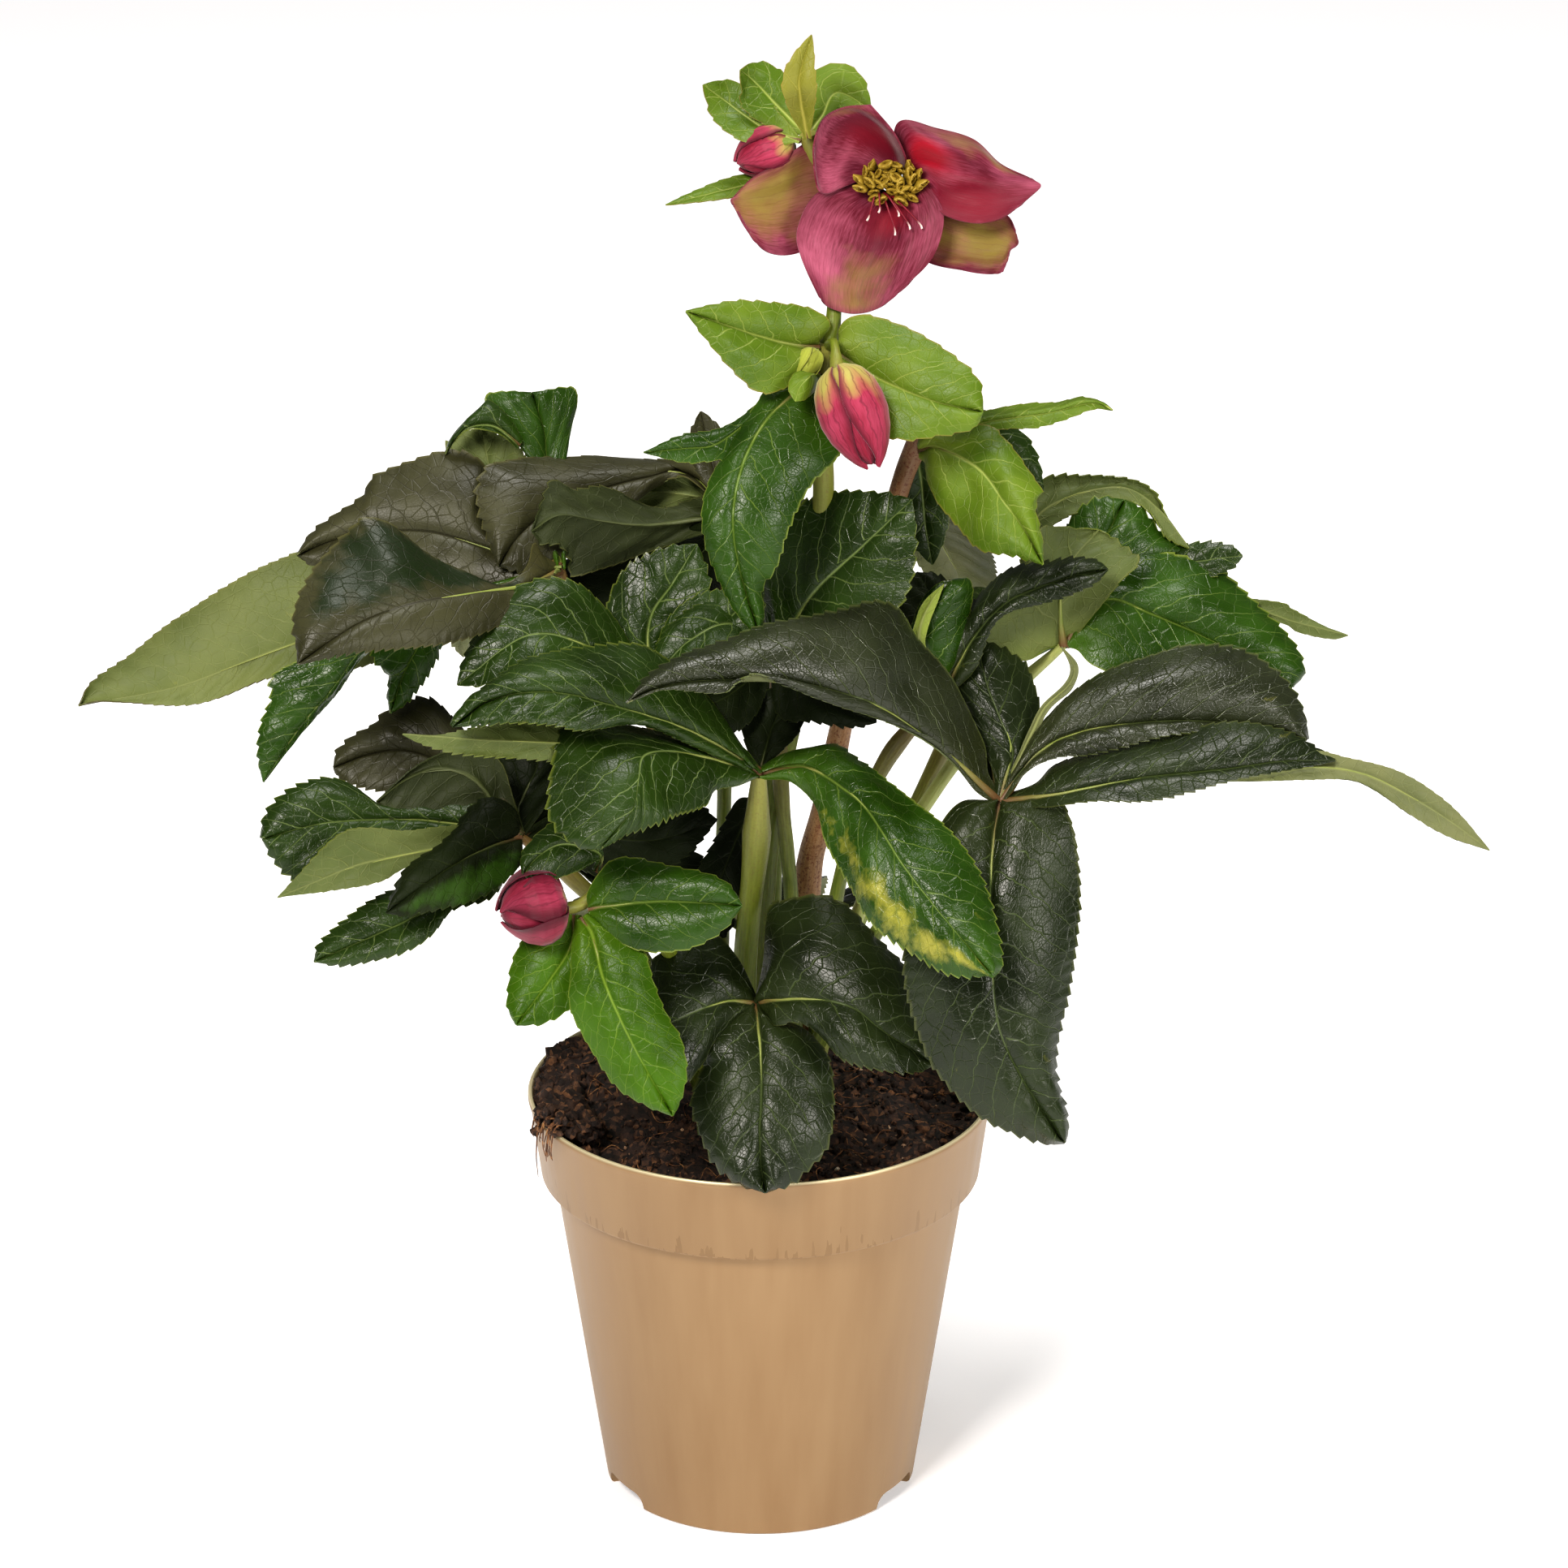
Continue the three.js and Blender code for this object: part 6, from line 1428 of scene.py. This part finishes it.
# moist sphagnum peat: near-black crumbs and lighter fibres, matt, with the odd damp glint
def peatMaterial(name, look):
    material, tree, shader = newMaterial(name)
    place = addNode(tree, "TexCoord", out="Object")
    lumps = addNode(tree, "TexNoise", {"Vector": place, "Scale": 380.0, "Detail": 6.0, "Roughness": 0.7})
    crumbs = addNode(tree, "TexVoronoi", {"Vector": place, "Scale": 700.0}, out="Color")
    crumbTone = addNode(tree, "SeparateColor", {0: crumbs})
    tone = addNode(tree, "Math", {0: lumps, 1: crumbTone}, operation="MULTIPLY")
    color = addNode(tree, "ValToRGB", {0: tone}, stops=[
        (0.1, hexColor(look["dark"])), (0.35, hexColor(look["color"])), (0.62, hexColor(look["light"]))])
    tree.links.new(color, shader.inputs["Base Color"])
    shader.inputs["Roughness"].default_value = 0.85
    bump = addNode(tree, "Bump", {"Height": lumps, "Strength": 0.8, "Distance": 0.6 * mm})
    tree.links.new(bump, shader.inputs["Normal"])
    return material


soil = {"radius": 61.2, "rings": 64, "sides": 220, "edgeHeight": 107.0, "crest": 112.5, "low": 98,
        "skirt": 0.95,  # from here on the rows go down inside the wall and back under
        "heap": {"x": -50, "y": 8, "wide": 16, "long": 26, "high": 12},  # it rides up the left of the rim
        "fibres": 190, "lumpTurn": (150, 212), "spillTurn": 198, "lumpCrumbs": 420, "lumpRoots": 14}
peat = peatMaterial("moistPeat", {"dark": "#140C08", "color": "#33221A", "light": "#6A4A32"})
peatCrumb = peatMaterial("peatCrumb", {"dark": "#1C110B", "color": "#3E2A1E", "light": "#80593A"})
peatFibre = peatMaterial("peatFibre", {"dark": "#4A2E1C", "color": "#7C5434", "light": "#B08454"})
perlite = peatMaterial("perliteSpeck", {"dark": "#7A5E48", "color": "#A8886C", "light": "#D8CCB8"})


def soilHeight(x, y):
    rng = np.random.default_rng(901)
    radius = np.hypot(x, y)
    height = soil["crest"] - (soil["crest"] - soil["edgeHeight"]) * (radius / soil["radius"]) ** 2
    height = height + 1.6 * ripples(rng, x / 60, y / 60, 1, 3)
    height = height + 0.7 * ripples(rng, x / 60, y / 60, 5, 9) + 0.45 * ripples(rng, x / 60, y / 60, 12, 22)
    heap = soil["heap"]
    away = ((x - heap["x"]) / heap["wide"]) ** 2 + ((y - heap["y"]) / heap["long"]) ** 2
    return height + heap["high"] * np.exp(-away)


# the height of the soil at a single place
def heightAt(x, y):
    return soilHeight(np.array([x]), np.array([y]))[0]


def anyTurn(rng):
    turn, _ = np.linalg.qr(rng.normal(size=(3, 3)))
    return turn * np.sign(np.linalg.det(turn))


# one mesh from many copies of the modelled crumbs, each given as model, turn, size and place
def scatterCrumbs(name, crumbs, surface):
    points, faces, total = [], [], 0
    for (model, corners), turn, size, at in crumbs:
        points.append(model @ turn * size + at)
        faces += [tuple(total + c for c in corner) for corner in corners]
        total += len(model)
    mesh = bpy.data.meshes.new(name)
    mesh.from_pydata([tuple(p) for p in np.vstack(points) * mm], [], faces)
    scatter = bpy.data.objects.new(name, mesh)
    bpy.context.collection.objects.link(scatter)
    mesh.materials.append(surface)
    return scatter


def makeSoil():
    rng = np.random.default_rng(902)
    bed, u, v = newGrid(soil["rings"], soil["sides"])
    skirt = np.clip((u - soil["skirt"]) / 0.05, 0, 1)
    radius = np.maximum(np.minimum(u / soil["skirt"], 1), 0.002) ** 0.8 * (soil["radius"] - 1.6 * skirt)
    x, y = radius * np.cos(math.pi * v), radius * np.sin(math.pi * v)
    z = soilHeight(x, y) * (1 - skirt) + soil["low"] * skirt
    dress(bed, np.stack([x, y, z], 1), [peat])
    closeMesh(0.2)
    parts = [bed]
    # crumbs of peat and specks of perlite: a few are modelled, and many copies lie over the bed
    models = []
    for _ in range(6):
        bpy.ops.mesh.primitive_ico_sphere_add(subdivisions=2, radius=1)
        crumb = bpy.context.object
        ball = readPoints(crumb.data)
        lump = 1 + 0.3 * ripples(rng, ball[:, 0], ball[:, 1] + 2 * ball[:, 2], 0.4, 1.1)
        faces = [tuple(face.vertices) for face in crumb.data.polygons]
        models.append((ball * lump[:, None] * rng.uniform(0.6, 1.2, 3), faces))
        bpy.data.objects.remove(crumb)
    for name, count, small, large, surface in (("crumbs", 1500, 0.4, 1.7, peatCrumb),
                                               ("specks", 130, 0.25, 0.9, perlite)):
        crumbs = []
        for _ in range(count):
            model = models[rng.integers(len(models))]
            angle, away = rng.uniform(0, 2 * math.pi), (soil["radius"] - 2) * math.sqrt(rng.uniform(0, 1))
            turn = anyTurn(rng)
            size = small + (large - small) * rng.uniform() ** 3
            x, y = away * math.cos(angle), away * math.sin(angle)
            crumbs.append((model, turn, size, np.array([x, y, heightAt(x, y) + size * 0.25])))
        parts.append(scatterCrumbs(name, crumbs, surface))
    for number in range(soil["fibres"]):
        angle, away = rng.uniform(0, 2 * math.pi), (soil["radius"] - 6) * math.sqrt(rng.uniform(0, 1))
        x, y = away * math.cos(angle), away * math.sin(angle)
        turn, long = rng.uniform(0, 2 * math.pi), rng.uniform(3, 11)
        line = []
        for step in (-0.5, 0, 0.5):
            px, py = x + long * step * math.cos(turn + step), y + long * step * math.sin(turn + step)
            lift = 0.5 + (rng.uniform(0, 1.5) if step == 0 else rng.uniform(-0.2, 1.2))
            line.append((px, py, heightAt(px, py) + lift))
        parts.append(makeStalk(line, [0.1, 0.16, 0.14, 0.08], peatFibre, 950 + number, sides=5, pitch=1.2))
    # a matted lump that has spilled over the left of the rim, with roots hanging from it
    crumbs = []
    for _ in range(soil["lumpCrumbs"]):
        model = models[rng.integers(len(models))]
        degrees = rng.uniform(*soil["lumpTurn"])
        angle, spilled = math.radians(degrees), degrees > soil["spillTurn"]
        away = rng.uniform(52, 66.3 if spilled else 61.8)  # over the rim, or up to the wall's inside
        drop = max(0.0, away - 64.5) * 3
        size = rng.uniform(0.8, 3.2) * (0.55 if away > 60 else 1)
        high = 116.5 + (3 if away > 62 else 0) + rng.uniform(0, 3) - drop
        at = np.array([away * math.cos(angle), away * math.sin(angle), high])
        crumbs.append((model, anyTurn(rng), size, at))
    parts.append(scatterCrumbs("lump", crumbs, peatCrumb))
    for number in range(soil["lumpRoots"]):
        angle = math.radians(rng.uniform(soil["spillTurn"], soil["lumpTurn"][1]))
        out = np.array([math.cos(angle), math.sin(angle), 0])
        aside = np.array([-out[1], out[0], 0]) * rng.uniform(-5, 5)
        long = rng.uniform(3, 9) if number else 16
        line = [out * 60 + (0, 0, 120), out * 65.4 + aside * 0.5 + (0, 0, 121),
                out * 67 + aside * 0.8 + (0, 0, 118 - long * 0.5), out * 66.6 + aside + (0, 0, 118 - long)]
        parts.append(makeStalk(line, [0.2, 0.25, 0.2, 0.1], peatFibre, 1200 + number, sides=5, pitch=1.2))
    finishPiece("peat", parts, 70, "peat", "soil")


makeSoil()
print("soil made")

crown = {"count": 17, "radius": 15.0, "foot": 108.0, "top": (118, 127)}


# the crown: the sheathing feet of leaf stalks, old and new, packed together in the soil
def makeCrown():
    rng = np.random.default_rng(1001)
    parts = []
    for number in range(crown["count"]):
        turn = 2 * math.pi * number / crown["count"] + rng.uniform(-0.15, 0.15)
        away = crown["radius"] * rng.uniform(0.35, 1.0)
        out = np.array([math.cos(turn), math.sin(turn), 0])
        low = out * away * 0.8 + (0, 0, crown["foot"])
        high = out * (away + 1.5) + (0, 0, rng.uniform(*crown["top"]))
        parts.append(makeStalk([low, (low + high) / 2 + out * 0.6, high], [3.6, 3.6, 3.2, 2.6, 1.6],
                               stalkFinishes["petiole" if number % 3 else "red"], 1000 + number, pitch=1.5))
    finishPiece("crown", parts, 60, "green_stem", "crown")


makeCrown()
print("crown made")

# studio: a plain pale floor and soft light from above and both sides; each lamp is name, place, watts, size
# in metres and tint
studio = {"floor": 6.0, "floorColor": "#F8F8FA", "floorGlow": 0.3, "sky": "#FFFFFF", "skyStrength": 0.13,
          "lamps": [("keyLamp", (-0.7, -1.5, 1.6), 42, 0.6, "#FFF8F2"),
                    ("fillLamp", (1.3, -1.3, 0.9), 18, 0.6, "#FFFAF4"),
                    ("topLamp", (0.1, 0.3, 2.0), 22, 0.7, "#FFFCF8")],
          "aim": (0.0, 0.0, 0.22)}


def makeStudio():
    bpy.ops.mesh.primitive_plane_add(size=studio["floor"])
    floor = bpy.context.object
    floor.name = "floor"
    material, tree, shader = newMaterial("paleFloor")
    shader.inputs["Base Color"].default_value = hexColor(studio["floorColor"])
    shader.inputs["Roughness"].default_value = 0.9
    shader.inputs["Emission Color"].default_value = hexColor(studio["floorColor"])
    shader.inputs["Emission Strength"].default_value = studio["floorGlow"]  # keeps the far floor pale
    floor.data.materials.append(material)
    floor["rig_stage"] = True
    world = bpy.data.worlds.new("softRoom")
    world.use_nodes = True
    tree = world.node_tree
    tree.nodes["Background"].inputs["Color"].default_value = hexColor(studio["sky"])
    # the backdrop is seen white, but lights the plant with only skyStrength of that
    seen = addNode(tree, "LightPath", out="Is Camera Ray")
    strength = addNode(tree, "MapRange", {0: seen, 3: studio["skyStrength"], 4: 1.0})
    tree.links.new(strength, tree.nodes["Background"].inputs["Strength"])
    bpy.context.scene.world = world
    for name, place, power, size, tint in studio["lamps"]:
        bpy.ops.object.light_add(type="AREA", location=place)
        lamp = bpy.context.object
        lamp.name = name
        lamp.data.energy = power
        lamp.data.size = size
        lamp.data.color = hexColor(tint)[:3]
        lamp.rotation_euler = (Vector(studio["aim"]) - Vector(place)).to_track_quat("-Z", "Y").to_euler()
    bpy.context.scene.view_settings.view_transform = "Standard"
    bpy.context.scene.view_settings.look = "Medium High Contrast"


view = {"at": (0.0067, -2.0398, 1.0337), "turn": 68, "lens": 183.2, "sensor": 36}


def placeCamera():
    bpy.ops.object.camera_add(location=view["at"], rotation=(math.radians(view["turn"]), 0, 0))
    camera = bpy.context.object
    camera.data.lens = view["lens"]
    camera.data.sensor_width = view["sensor"]
    bpy.context.scene.camera = camera


makeStudio()
placeCamera()

triangles = 0
for piece in bpy.data.objects:
    if piece.type == "MESH" and not piece.hide_render and "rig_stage" not in piece:
        triangles += sum(len(face.vertices) - 2 for face in piece.data.polygons)
print("triangles", triangles)
